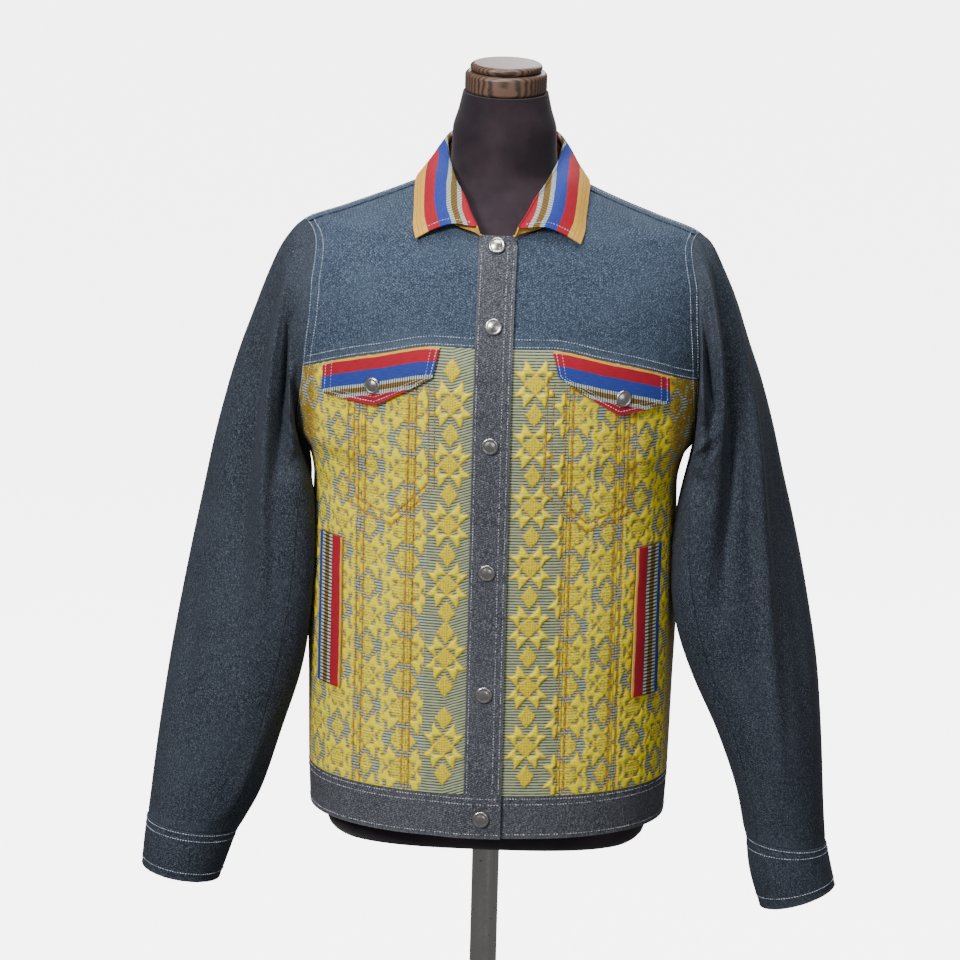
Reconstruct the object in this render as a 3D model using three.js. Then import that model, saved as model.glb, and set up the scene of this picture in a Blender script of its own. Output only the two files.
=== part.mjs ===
// A trucker jacket worn by a limbless dress form on a round stand.
// Millimetres, +Z up. The jacket's front faces -Y and the wearer's left is +X.
// The cloth of the body is one smooth surface, given by horizontal sections, and every
// panel, band, placket, flap and welt is a patch of that surface, moved out where it lies on another.
import * as THREE from "three";

// Driving heights. Jacket heights are measured up from its hem.
const HEM_Z = 700;
const BAND_HEIGHT = 41;
const SHOULDER_POINT = 546;
const FRONT_NECK = 556;
const SIDE_NECK = 590;

// Cloth and seams.
const DENIM = 1.6;
const JACQUARD = 2;
const DOUBLED = 2.6;
const SEAM_GAP = 0.4;
const LAYER_GAP = 0.35;
const BODY_CLEARANCE = 1.2;

// Places across the front, measured from the centre line.
const PLACKET_RIGHT_EDGE = -16;
const PLACKET_LEFT_EDGE = 18;
const UNDER_PLACKET_HALF = 14;
const INNER_SEAM_X = 71;
const OUTER_SEAM_X = 117;
const SHOULDER_SEAM_Y = -12;
const NECK_HALF_WIDTH = 65;

// The armhole, an oval seen from the side, and how far the body's cloth stays back from it.
const ARMHOLE = { y: -2, height: 448, halfHeight: 98, frontRight: 68, frontLeft: 54, back: 58, margin: 0.8 };

// The side seam leans forward from the armhole's lowest point to the hem.
const SIDE_SEAM = table(
  ["height", "y"],
  [
    [0, -34],
    [200, -32],
    [300, -20],
    [349, -2],
  ],
);

// Sections of the jacket's body: half width, depth to the front and to the back, and roundness.
const BODY = table(
  ["height", "half", "front", "back", "round"],
  [
    [0, 164, 126, 106, 2.2],
    [41, 166, 128, 107, 2.2],
    [120, 168, 130, 106, 2.2],
    [200, 170, 134, 104, 2.25],
    [260, 168, 136, 105, 2.25],
    [310, 167, 138, 109, 2.25],
    [340, 173, 139, 112, 2.2],
    [360, 186, 140, 113, 2.15],
    [400, 196, 140, 114, 2.1],
    [440, 200, 137, 111, 2.1],
    [480, 201, 128, 105, 2.0],
    [500, 201, 121, 101, 1.9],
    [520, 196, 113, 96, 1.75],
    [546, 181, 100, 87, 1.5],
    [560, 146, 92, 81, 1.45],
    [575, 107, 80, 73, 1.5],
    [586, 79, 67, 66, 1.7],
    [592, 64, 58, 60, 2.0],
  ],
);

// Sections of the dress form, inside the jacket, from its base to the top of its neck.
const FORM = table(
  ["height", "half", "front", "back", "round"],
  [
    [-28, 126, 62, 62, 2.8],
    [-25, 138, 78, 76, 2.8],
    [-15, 147, 92, 88, 2.7],
    [2, 150, 103, 96, 2.5],
    [60, 149, 114, 100, 2.3],
    [140, 139, 112, 95, 2.2],
    [220, 130, 112, 92, 2.2],
    [300, 143, 124, 99, 2.2],
    [350, 158, 132, 105, 2.15],
    [400, 166, 134, 108, 2.1],
    [440, 170, 131, 105, 2.1],
    [480, 173, 122, 99, 2.0],
    [510, 175, 112.5, 94, 1.85],
    [530, 175, 104, 88, 1.7],
    [545, 170, 96.5, 82.5, 1.5],
    [558, 144, 86, 77, 1.45],
    [572, 108, 69, 70, 1.5],
    [583, 80, 54, 61, 1.7],
    [590, 60, 48, 53, 1.9],
    [600, 50, 44, 47, 2],
    [617, 48, 42.5, 44, 2],
    [636, 47.5, 41.5, 43, 2],
    [655, 42.5, 40, 41, 2],
    [671, 39, 39, 39, 2],
  ],
);

// The yoke seam's height against the distance from the centre line.
const YOKE_SEAM = table(
  ["across", "height"],
  [
    [0, 461],
    [50, 461],
    [103, 450],
    [140, 439.5],
    [176, 424],
    [195, 415],
  ],
);
const BACK_YOKE_HEIGHT = 440;

// Rings down each sleeve: the outer and inner edge as seen from the front, the depth, the y of the
// middle, and how far the inner edge lies forward of it.
const SLEEVE_COLUMNS = ["outX", "outZ", "inX", "inZ", "deep", "midY", "forward"];
const RIGHT_SLEEVE = table(SLEEVE_COLUMNS, [
  [193, 534, 181, 343, 62, -4, 2],
  [203, 517, 177, 333, 64, -5, 6],
  [214, 489, 171, 321, 65, -6, 12],
  [226, 454, 165, 307, 64, -7, 18],
  [238, 420, 161, 291, 62, -8, 24],
  [250, 381, 160, 271, 60, -10, 28],
  [261, 335, 160, 246, 58, -12, 30],
  [271, 282, 161, 214, 57, -14, 30],
  [282, 222, 165, 176, 56, -18, 26],
  [293, 154, 173, 128, 54, -22, 18],
  [301, 90, 189, 74, 52, -27, 10],
  [308, 30, 207, 16, 48, -31, 4],
  [312, -14, 227, -23, 44, -34, 0],
]);
const RIGHT_CUFF = table(SLEEVE_COLUMNS, [
  [313.2, -14.5, 228, -23.6, 45, -34, 0],
  [315.5, -37, 236, -47, 44, -36, 0],
  [317, -60, 244, -71, 42, -38, 0],
]);
const LEFT_SLEEVE = table(SLEEVE_COLUMNS, [
  [193, 534, 182, 343, 62, -4, 2],
  [203, 514, 179, 333, 64, -5, 6],
  [216, 483, 174, 321, 65, -6, 12],
  [229, 443, 170, 307, 64, -7, 18],
  [241, 408, 167, 291, 62, -8, 24],
  [253, 366, 165, 271, 60, -10, 28],
  [264, 320, 164, 246, 58, -12, 30],
  [276, 272, 166, 216, 57, -14, 30],
  [289, 214, 173, 180, 56, -18, 24],
  [300, 152, 188, 138, 54, -22, 16],
  [306.5, 88, 211, 88, 52, -27, 8],
  [311.5, 26, 230, 36, 48, -31, 3],
  [315, -17, 240, -8, 44, -34, 0],
]);
const LEFT_CUFF = table(SLEEVE_COLUMNS, [
  [316, -17.6, 241, -8.8, 45, -34, 0],
  [320.5, -36, 245.5, -44, 44, -36, 0],
  [325.5, -57, 256, -78, 42, -38, 0],
]);

// The longest folds of each sleeve: the angle at the top and at the foot, the rings they run
// between, how far they stand out (or in, if negative) and how wide they are, in degrees.
const FOLD_COLUMNS = ["top", "foot", "from", "to", "rise", "wide"];
const RIGHT_FOLDS = table(FOLD_COLUMNS, [
  [64, 60, 0.6, 9, -6, 15],
  [92, 92, 1.4, 9, 6, 13],
  [113, 118, 1.6, 8, -6, 12],
  [212, 225, 1.5, 8, -4, 18],
  [300, 310, 1.2, 9, -5, 20],
]);
const LEFT_FOLDS = table(FOLD_COLUMNS, [
  [58, 56, 1, 10.5, 6, 13],
  [86, 80, 0.8, 9, -7, 14],
  [108, 104, 1.2, 7, 7, 12],
  [150, 160, 2, 8, -4, 16],
  [296, 305, 1.2, 9, -5, 20],
]);
const SLEEVE_SEAM_FRONT = 130;
const SLEEVE_SEAM_BACK = 255;

// The collar at stations from its front edge to the centre back: the neck seam, the fold and the leaf's edge.
const COLLAR_COLUMNS = ["neckX", "neckY", "neckZ", "foldX", "foldY", "foldZ", "edgeX", "edgeY", "edgeZ", "bulge"];
const COLLAR = table(COLLAR_COLUMNS, [
  [14, -97.5, 558.5, 17, -98.5, 566, 75, -84, 550, 8],
  [36, -84.5, 562, 24, -84, 575, 78, -70, 559, 12],
  [47, -75.5, 567, 31, -69, 586.5, 78.5, -54, 570, 12],
  [59, -57, 577, 40, -49, 597, 79.5, -32, 583, 9],
  [65, -32.5, 588, 46.5, -21, 605.5, 79.5, -8, 590, 6],
  [67.5, -6, 592, 51, 5, 613.5, 75.5, 17, 591, 4],
  [62, 28, 592, 51, 28, 622, 66, 46, 584, 3],
  [38, 52, 592, 35, 46, 629, 44, 73, 575, 4],
  [0, 62, 592, 0, 53, 632, 0, 82, 573, 4],
]);
const COLLAR_THICK = 1.2;
const COLLAR_ROLL = 3.2;
const COLLAR_STAND_SAG = 3.5;

// The chest pocket flaps: where their ends and tip lie across the front, how high their lower
// corners and tip hang, and how far their foot stands off the cloth.
const FLAP_COLUMNS = ["innerX", "outerX", "tipX", "innerFoot", "tipFoot", "outerFoot", "snapX", "snapZ"];
const [FLAP_RIGHT, FLAP_LEFT] = table(FLAP_COLUMNS, [
  [47.5, 154, 105, 433, 402.5, 406.5, 107, 420.5],
  [54, 158, 114, 437, 400.5, 407.5, 117, 416],
]);
const FLAP_LIFT = 1.6;
const FLAP_SLANT = 6;
const WELT = { inner: 133, outer: 154, foot: 128, head: 270 };

const SNAP_RADIUS = 7.7;
const FRONT_SNAPS = [548, 480, 373, 254, 138];
const HEM_SNAP = 19;

const STAND = { baseRadius: 170, baseHeight: 12, bossRadius: 24, bossHeight: 32, poleRadius: 12.5 };
const CAP = { foot: 671.4, rim: 690, top: 698, lowRadius: 37.5, topRadius: 33, grooveRadius: 31.5 };

const COLOURS = {
  denim: [0x44566a, 0.9, 0],
  charcoal: [0x55585f, 0.9, 0],
  jacquard: [0xcdb52e, 0.92, 0],
  stripe: [0xb8283a, 0.85, 0],
  metal: [0xb9b6b0, 0.3, 1],
  form: [0x2e272b, 0.85, 0],
  wood: [0x7a4f3a, 0.5, 0],
  steel: [0xa8a6a2, 0.3, 1],
  base: [0x3a3a3c, 0.6, 0.6],
};

// A table with named columns, as a list of rows.
function table(columns, rows) {
  return rows.map((row) => Object.fromEntries(columns.map((name, i) => [name, row[i]])));
}

function lerp(a, b, share) {
  return a + (b - a) * share;
}

// One column of a table at a value of its first column, on a smooth curve that doesn't overshoot.
function lookUp(rows, key, column, at) {
  const last = rows.length - 1;
  if (at <= rows[0][key]) return rows[0][column];
  if (at >= rows[last][key]) return rows[last][column];
  const i = rows.findIndex((row) => row[key] > at) - 1;
  const slope = (k) => (rows[k + 1][column] - rows[k][column]) / (rows[k + 1][key] - rows[k][key]);
  const tangent = (k) => {
    if (k === 0) return slope(0);
    if (k === last) return slope(last - 1);
    const [before, after] = [slope(k - 1), slope(k)];
    return before * after <= 0 ? 0 : (2 * before * after) / (before + after);
  };
  const span = rows[i + 1][key] - rows[i][key];
  const s = (at - rows[i][key]) / span;
  const [p, q] = [rows[i][column], rows[i + 1][column]];
  const bend = s * (1 - s) * span;
  return lerp(p, q, s * s * (3 - 2 * s)) + bend * ((1 - s) * tangent(i) - s * tangent(i + 1));
}

function sectionAt(sections, height) {
  const value = (column) => lookUp(sections, "height", column, height);
  return { half: value("half"), front: value("front"), back: value("back"), round: value("round") };
}

// A point on a section. The angle is 0 at the centre front and a quarter turn at the side.
function sectionPoint(sections, angle, height) {
  const { half, front, back, round } = sectionAt(sections, height);
  const [s, c] = [Math.sin(angle), Math.cos(angle)];
  const x = half * Math.sign(s) * Math.abs(s) ** (2 / round);
  const y = -(c > 0 ? front : back) * Math.sign(c) * Math.abs(c) ** (2 / round);
  return new THREE.Vector3(x, y, height);
}

// How far outside the cloth surface a point is, as a number that is 0 on it.
function bodyField(x, y, height) {
  const { half, front, back, round } = sectionAt(BODY, height);
  return (Math.abs(x) / half) ** round + (Math.abs(y) / (y < 0 ? front : back)) ** round;
}

function bodyNormal(p) {
  const step = 0.05;
  const across = (dx, dy, dz) =>
    bodyField(p.x + dx, p.y + dy, p.z + dz) - bodyField(p.x - dx, p.y - dy, p.z - dz);
  return new THREE.Vector3(across(step, 0, 0), across(0, step, 0), across(0, 0, step)).normalize();
}

function clothPoint(angle, height, out = 0) {
  const p = sectionPoint(BODY, angle, height);
  return out === 0 ? p : p.addScaledVector(bodyNormal(p), out);
}

// The half width of the body at a depth and a height, or 0 where there is no cloth.
function bodySide(y, height) {
  const { half, front, back, round } = sectionAt(BODY, height);
  const share = Math.abs(y) / (y < 0 ? front : back);
  return share < 1 ? half * (1 - share ** round) ** (1 / round) : 0;
}

// The angle of the point of a section that lies at a given x, on the front.
function angleAtX(x, height) {
  const { half, round } = sectionAt(BODY, height);
  return Math.sign(x) * Math.asin(Math.min(1, Math.abs(x) / half) ** (round / 2));
}

// The angle, without its sign, of the point of a section that lies at a given y.
function angleAtY(y, height) {
  const { front, back, round } = sectionAt(BODY, height);
  const turn = Math.acos(Math.min(1, Math.abs(y) / (y < 0 ? front : back)) ** (round / 2));
  return y < 0 ? turn : Math.PI - turn;
}

// The armhole's depth from its middle, on one side, towards the front (-1) or the back (+1).
function armholeDepth(side, towards) {
  if (towards > 0) return ARMHOLE.back;
  return side < 0 ? ARMHOLE.frontRight : ARMHOLE.frontLeft;
}

// The y of the body cloth's edge at the armhole or under it, towards the front or the back.
function sideEdgeY(side, height, towards) {
  const rise = Math.abs(height - ARMHOLE.height) / (ARMHOLE.halfHeight + ARMHOLE.margin);
  const depth = armholeDepth(side, towards) + ARMHOLE.margin;
  if (rise < 1) return ARMHOLE.y + towards * depth * Math.sqrt(1 - rise * rise);
  return lookUp(SIDE_SEAM, "height", "y", height) + (towards * SEAM_GAP) / 2;
}

function yokeSeam(x) {
  return lookUp(YOKE_SEAM, "across", "height", Math.abs(x));
}

// The x of the front neckline at a height above its lowest point.
function necklineX(height) {
  const drop = (SIDE_NECK - height) / (SIDE_NECK - FRONT_NECK + 2);
  return NECK_HALF_WIDTH * Math.sqrt(Math.max(0, 1 - drop * drop));
}

// Triangles of a closed wall between an outer and an inner grid of points, rows by columns.
function wallGeometry(outer, inner, closed = false) {
  const [rows, columns] = [outer.length, outer[0].length];
  const positions = [...outer.flat(), ...inner.flat()].flatMap((p) => [p.x, p.y, p.z]);
  const index = [];
  const id = (side, r, c) => side * rows * columns + r * columns + (c % columns);
  const quad = (a, b, c, d) => index.push(a, b, c, a, c, d);
  const lastColumn = closed ? columns : columns - 1;
  for (let r = 0; r < rows - 1; r++)
    for (let c = 0; c < lastColumn; c++) {
      quad(id(0, r, c), id(0, r, c + 1), id(0, r + 1, c + 1), id(0, r + 1, c));
      quad(id(1, r, c), id(1, r + 1, c), id(1, r + 1, c + 1), id(1, r, c + 1));
    }
  for (let c = 0; c < lastColumn; c++) {
    quad(id(0, 0, c), id(1, 0, c), id(1, 0, c + 1), id(0, 0, c + 1));
    quad(id(0, rows - 1, c), id(0, rows - 1, c + 1), id(1, rows - 1, c + 1), id(1, rows - 1, c));
  }
  if (!closed)
    for (let r = 0; r < rows - 1; r++) {
      quad(id(0, r, 0), id(0, r + 1, 0), id(1, r + 1, 0), id(1, r, 0));
      const end = columns - 1;
      quad(id(0, r, end), id(1, r, end), id(1, r + 1, end), id(0, r + 1, end));
    }
  return facingOut(positions, index);
}

// A closed solid through rings of points, with its two ends filled.
function loftGeometry(rings) {
  const columns = rings[0].length;
  const middle = (ring) => ring.reduce((sum, p) => sum.add(p), new THREE.Vector3()).divideScalar(columns);
  const ends = [middle(rings[0]), middle(rings[rings.length - 1])];
  const positions = [...rings.flat(), ...ends].flatMap((p) => [p.x, p.y, p.z]);
  const index = [];
  const id = (r, c) => r * columns + (c % columns);
  const [foot, head] = [rings.length * columns, rings.length * columns + 1];
  for (let c = 0; c < columns; c++) {
    for (let r = 0; r < rings.length - 1; r++) {
      index.push(id(r, c), id(r, c + 1), id(r + 1, c + 1));
      index.push(id(r, c), id(r + 1, c + 1), id(r + 1, c));
    }
    index.push(foot, id(0, c + 1), id(0, c));
    index.push(head, id(rings.length - 1, c), id(rings.length - 1, c + 1));
  }
  return facingOut(positions, index);
}

// A geometry whose faces point outwards, whichever way its grid was laid.
function facingOut(positions, index) {
  const at = (i) => new THREE.Vector3(...positions.slice(3 * i, 3 * i + 3));
  let volume = 0;
  for (let i = 0; i < index.length; i += 3)
    volume += at(index[i]).dot(at(index[i + 1]).cross(at(index[i + 2])));
  if (volume < 0)
    for (let i = 0; i < index.length; i += 3) [index[i + 1], index[i + 2]] = [index[i + 2], index[i + 1]];
  const geometry = new THREE.BufferGeometry();
  geometry.setAttribute("position", new THREE.Float32BufferAttribute(positions, 3));
  geometry.setIndex(index);
  return geometry;
}

// A wall on the body's surface: each row gives, for a share across it, an angle and a height.
function clothPatch(rowCount, shares, place, thickness, out = () => 0) {
  const grid = (depth) =>
    Array.from({ length: rowCount }, (_, r) =>
      shares.map((s) => {
        const { angle, height } = place(r, s);
        return clothPoint(angle, height, out(r, s) - depth);
      }),
    );
  return wallGeometry(grid(0), grid(thickness));
}

function evenShares(count) {
  return Array.from({ length: count + 1 }, (_, i) => i / count);
}

// Heights of a panel's rows under the armhole, and of the rows that follow its edge.
const PANEL_ROWS = [BAND_HEIGHT + SEAM_GAP, 80, 120, 160, 200, 235, 270, 305, 330];
const EDGE_ROWS = [349.2, 350, 352, 356, 362, 372, 386, 404];

// Places across a front yoke's foot, shared with the panels under it, and shares of the rest.
const YOKE_COLUMNS = [14.4, 33, 52, 71, 86, 101.5];
const SIDE_SHARES = [0, 0.2, 0.4, 0.6, 0.8, 1];

// The outermost x of a front panel's or yoke's edge at the yoke seam.
function yokeFootX(side, rise) {
  const edgeX = (height) => sectionPoint(BODY, angleAtY(sideEdgeY(side, height, -1), height), height).x;
  const guess = edgeX(yokeSeam(180) + rise);
  return edgeX(yokeSeam(guess) + rise);
}

// A front panel between two seams that stand upright, from the hem band to the yoke.
function frontPanel(side, innerX, outerX) {
  const heights = [...PANEL_ROWS, 355, 380, 410];
  const place = (r, s) => {
    const x = lerp(innerX, outerX, s);
    const height = r < heights.length ? heights[r] : yokeSeam(x) - SEAM_GAP / 2;
    return { angle: angleAtX(side * x, height), height };
  };
  return clothPatch(heights.length + 1, evenShares(3), place, JACQUARD);
}

// The front's side panel: from the outer seam to the side seam and the front of the armhole.
function sidePanel(side) {
  const heights = [...PANEL_ROWS, ...EDGE_ROWS];
  const inner = OUTER_SEAM_X + SEAM_GAP / 2;
  const place = (r, s) => {
    if (r < heights.length) {
      const height = heights[r];
      const edge = angleAtY(sideEdgeY(side, height, -1), height);
      return { angle: side * lerp(angleAtX(inner, height), edge, s), height };
    }
    const x = lerp(inner, yokeFootX(side, -SEAM_GAP / 2), s);
    const height = yokeSeam(x) - SEAM_GAP / 2;
    return { angle: side * angleAtX(x, height), height };
  };
  return clothPatch(heights.length + 1, SIDE_SHARES, place, JACQUARD);
}

// Heights of a yoke's rows, closest together where the shoulder is nearly level.
const YOKE_ROWS = [480, 500, 515, 528, 538, 546, 551, 556, 560, 564, 569, 574, 579, 584, 587.5];

// A front yoke: from the yoke seam up to the neckline and the shoulder seam.
function frontYoke(side) {
  const footX = yokeFootX(side, SEAM_GAP / 2);
  const columns = [...YOKE_COLUMNS, ...SIDE_SHARES.map((s) => lerp(OUTER_SEAM_X, footX, s))];
  const shares = columns.map((x) => (x - columns[0]) / (footX - columns[0]));
  const outerAngle = (height) => {
    const y = height < SHOULDER_POINT ? sideEdgeY(side, height, -1) : SHOULDER_SEAM_Y;
    return angleAtY(Math.min(y, SHOULDER_SEAM_Y - SEAM_GAP / 2), height);
  };
  const place = (r, s) => {
    if (r > 0) {
      const height = YOKE_ROWS[r - 1];
      const innerX = height < FRONT_NECK ? columns[0] : Math.max(columns[0], necklineX(height));
      return { angle: side * lerp(angleAtX(innerX, height), outerAngle(height), s), height };
    }
    const x = lerp(columns[0], footX, s);
    const height = yokeSeam(x) + SEAM_GAP / 2;
    return { angle: side * angleAtX(x, height), height };
  };
  return clothPatch(YOKE_ROWS.length + 1, shares, place, DENIM);
}

// A wall across the back, between the edges at both sides.
function backPatch(heights, shares, edgeY, thickness) {
  const place = (r, s) => {
    const edge = angleAtY(edgeY(heights[r]), heights[r]);
    return { angle: lerp(edge, 2 * Math.PI - edge, s), height: heights[r] };
  };
  return clothPatch(heights.length, shares, place, thickness);
}

// The back of the body, from side seam to side seam, under the back yoke.
function backPanel() {
  const heights = [...PANEL_ROWS, ...EDGE_ROWS, 420, BACK_YOKE_HEIGHT - SEAM_GAP / 2];
  return backPatch(heights, evenShares(20), (height) => sideEdgeY(1, height, 1), JACQUARD);
}

// The back yoke, which laps over the shoulders to the seam just in front of them.
function backYoke() {
  const heights = [BACK_YOKE_HEIGHT + SEAM_GAP / 2, 460, 480, 500, 515, 528, 538];
  heights.push(...YOKE_ROWS.filter((height) => height >= SHOULDER_POINT), SIDE_NECK);
  const edgeY = (height) => (height < SHOULDER_POINT ? sideEdgeY(1, height, 1) : SHOULDER_SEAM_Y + SEAM_GAP / 2);
  const shares = [0, 0.03, 0.07, 0.12, 0.18, 0.26, 0.34, 0.42];
  const mirrored = shares.map((s) => 1 - s).reverse();
  return backPatch(heights, [...shares, 0.5, ...mirrored], edgeY, DENIM);
}

function smooth(share) {
  const s = Math.min(1, Math.max(0, share));
  return s * s * (3 - 2 * s);
}

// The strip with the snap caps, on the right front's edge, over the left one.
function placket(fromX, toX, out, thickness) {
  const heights = [...PANEL_ROWS, 355, 380, 410, 461, ...YOKE_ROWS.filter((height) => height <= FRONT_NECK)];
  const place = (r, s) => {
    const height = heights[r];
    return { angle: angleAtX(lerp(fromX, toX, s), height), height };
  };
  return clothPatch(heights.length, evenShares(3), place, thickness, () => out);
}

// The hem band, one strip round the body whose right end laps over its left end.
function hemBand() {
  const heights = [0, BAND_HEIGHT / 2, BAND_HEIGHT];
  const overlap = DOUBLED + LAYER_GAP;
  const rampEnd = 50;
  const columns = 48;
  const startAngle = (height) => angleAtX(-UNDER_PLACKET_HALF, height);
  const endAngle = (height) => 2 * Math.PI + angleAtX(PLACKET_LEFT_EDGE, height);
  const place = (r, s) => ({ angle: lerp(startAngle(heights[r]), endAngle(heights[r]), s), height: heights[r] });
  const out = (r, s) => {
    const { angle, height } = place(r, s);
    if (angle < Math.PI) return 0;
    const x = clothPoint(angle, height).x;
    return clothPoint(angle, height).y > 0 ? 0 : overlap * smooth((x + rampEnd) / (rampEnd + PLACKET_RIGHT_EDGE));
  };
  return clothPatch(heights.length, evenShares(columns), place, DOUBLED, out);
}

// A chest pocket flap, hung from the yoke seam, with a pointed foot.
function flap(side, size) {
  const { innerX, outerX, tipX } = size;
  const tipShare = (tipX - innerX) / (outerX - innerX);
  const shares = [0, tipShare / 3, (2 * tipShare) / 3, tipShare, (2 * tipShare + 1) / 3, (tipShare + 2) / 3, 1];
  const rows = 4;
  const foot = (s) =>
    s < tipShare
      ? lerp(size.innerFoot, size.tipFoot, s / tipShare)
      : lerp(size.tipFoot, size.outerFoot, (s - tipShare) / (1 - tipShare));
  const place = (r, s) => {
    const down = r / (rows - 1);
    const x = lerp(innerX + FLAP_SLANT * down * Math.max(0, 1 - s / tipShare), outerX, s);
    const height = lerp(yokeSeam(x) - 2 * SEAM_GAP, foot(s), down);
    return { angle: angleAtX(side * x, height), height };
  };
  const out = (r) => JACQUARD + LAYER_GAP + (FLAP_LIFT * r) / (rows - 1);
  return clothPatch(rows, shares, place, JACQUARD, out);
}

function welt(side) {
  const rows = 6;
  const place = (r, s) => {
    const height = lerp(WELT.foot, WELT.head, r / (rows - 1));
    return { angle: angleAtX(side * lerp(WELT.inner, WELT.outer, s), height), height };
  };
  return clothPatch(rows, evenShares(3), place, JACQUARD, () => JACQUARD + 2 * LAYER_GAP);
}

// The armhole's edge on one side: 0 degrees at the shoulder, 90 at the front, 180 under the arm.
function armholeEdge(side, degrees) {
  const turn = THREE.MathUtils.degToRad(degrees);
  const depth = armholeDepth(side, Math.sin(turn) > 0 ? -1 : 1);
  const height = ARMHOLE.height + ARMHOLE.halfHeight * Math.cos(turn);
  const y = ARMHOLE.y - depth * Math.sin(turn);
  const angle = angleAtY(y, height);
  return clothPoint(side * angle, height);
}

// A ring of the sleeve's table as a point at an angle.
function ringPoint(side, ring, degrees) {
  const turn = THREE.MathUtils.degToRad(degrees);
  const [c, s] = [Math.cos(turn), Math.sin(turn)];
  const x = (ring.outX + ring.inX) / 2 + (c * (ring.outX - ring.inX)) / 2;
  const z = (ring.outZ + ring.inZ) / 2 + (c * (ring.outZ - ring.inZ)) / 2;
  return new THREE.Vector3(side * x, ring.midY - s * ring.deep + c * ring.forward, z);
}

function ringCentre(side, ring) {
  return new THREE.Vector3((side * (ring.outX + ring.inX)) / 2, ring.midY, (ring.outZ + ring.inZ) / 2);
}

function foldRise(folds, degrees, along) {
  let rise = 0;
  for (const fold of folds) {
    const share = (along - fold.from) / (fold.to - fold.from);
    if (share <= 0 || share >= 1) continue;
    const centre = lerp(fold.top, fold.foot, share);
    const apart = ((((degrees - centre) % 360) + 540) % 360) - 180;
    rise += fold.rise * Math.sin(Math.PI * share) * Math.exp(-((apart / fold.wide) ** 2));
  }
  return rise;
}

// A sleeve's surface: a smooth curve down each angle, from the armhole through every ring.
class Sleeve {
  constructor(side, rings, folds) {
    this.side = side;
    this.rings = rings;
    this.folds = folds;
    this.last = rings.length;
  }

  knot(k, degrees) {
    if (k > 0) return ringPoint(this.side, this.rings[k - 1], degrees);
    const gap = 0.5;
    return armholeEdge(this.side, degrees).add(new THREE.Vector3(this.side * gap, 0, 0));
  }

  // A point on the smooth curve through the rings, kept clear of the body's side.
  smoothPoint(degrees, along) {
    const k = Math.min(this.last - 1, Math.floor(along));
    const s = along - k;
    const [b, c] = [this.knot(k, degrees), this.knot(k + 1, degrees)];
    const a = k > 0 ? this.knot(k - 1, degrees) : b.clone().multiplyScalar(2).sub(c);
    const d = k + 2 <= this.last ? this.knot(k + 2, degrees) : c.clone().multiplyScalar(2).sub(b);
    const point = (axis) => {
      const [p, q, r, t] = [a[axis], b[axis], c[axis], d[axis]];
      return q + (s * (r - p + s * (2 * p - 5 * q + 4 * r - t + s * (3 * (q - r) + t - p)))) / 2;
    };
    const p = new THREE.Vector3(point("x"), point("y"), point("z"));
    const limit = bodySide(p.y, p.z) + lerp(0.5, BODY_CLEARANCE, Math.min(1, 2 * along));
    const short = limit - Math.abs(p.x);
    const ease = 3 * Math.min(1, 2 * along) + 1e-3;
    if (short > -ease) p.x += this.side * (short < ease ? (short + ease) ** 2 / (4 * ease) : short);
    return p;
  }

  point(degrees, along) {
    const p = this.smoothPoint(degrees, along);
    const rise = foldRise(this.folds, degrees, along);
    if (rise === 0) return p;
    const ring = this.rings[Math.min(this.last - 1, Math.max(0, Math.round(along) - 1))];
    const away = p.clone().sub(ringCentre(this.side, ring));
    return p.addScaledVector(away.normalize(), rise);
  }

  normal(degrees, along) {
    const step = 0.02;
    const low = Math.max(0, along - step);
    const high = Math.min(this.last, along + step);
    const down = this.point(degrees, high).sub(this.point(degrees, low));
    const round = this.point(degrees + 1, along).sub(this.point(degrees - 1, along));
    const n = round.cross(down).multiplyScalar(this.side).normalize();
    return along === 0 ? this.seamNormal(degrees, n) : n;
  }

  // At the armhole the wall must not lean into the body's wall, so the part of its normal that
  // would do that is taken out.
  seamNormal(degrees, n) {
    const edge = armholeEdge(this.side, degrees);
    const along = armholeEdge(this.side, degrees + 1).sub(armholeEdge(this.side, degrees - 1));
    const bodyOut = bodyNormal(edge);
    const across = along.cross(bodyOut).normalize();
    const middle = new THREE.Vector3(edge.x, ARMHOLE.y, ARMHOLE.height).sub(edge);
    if (across.dot(middle) < 0) across.negate();
    return n.addScaledVector(across, -Math.max(0, n.dot(across))).normalize();
  }

  // The wall of one piece of the sleeve, between two angles.
  piece(fromDegrees, toDegrees, columns, steps) {
    const grid = (depth) =>
      steps.map((along) =>
        evenShares(columns).map((s) => {
          const degrees = lerp(fromDegrees, toDegrees, s);
          return this.point(degrees, along).addScaledVector(this.normal(degrees, along), -depth);
        }),
      );
    return wallGeometry(grid(0), grid(DENIM));
  }
}

function cuff(side, rings) {
  const columns = 28;
  const degrees = Array.from({ length: columns }, (_, i) => (360 * i) / columns);
  const outer = rings.map((ring) => degrees.map((angle) => ringPoint(side, ring, angle)));
  const inner = rings.map((ring, r) =>
    outer[r].map((p) => {
      const inward = ringCentre(side, ring).sub(p);
      return p.clone().addScaledVector(inward.normalize(), DOUBLED);
    }),
  );
  return wallGeometry(outer, inner, true);
}

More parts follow.
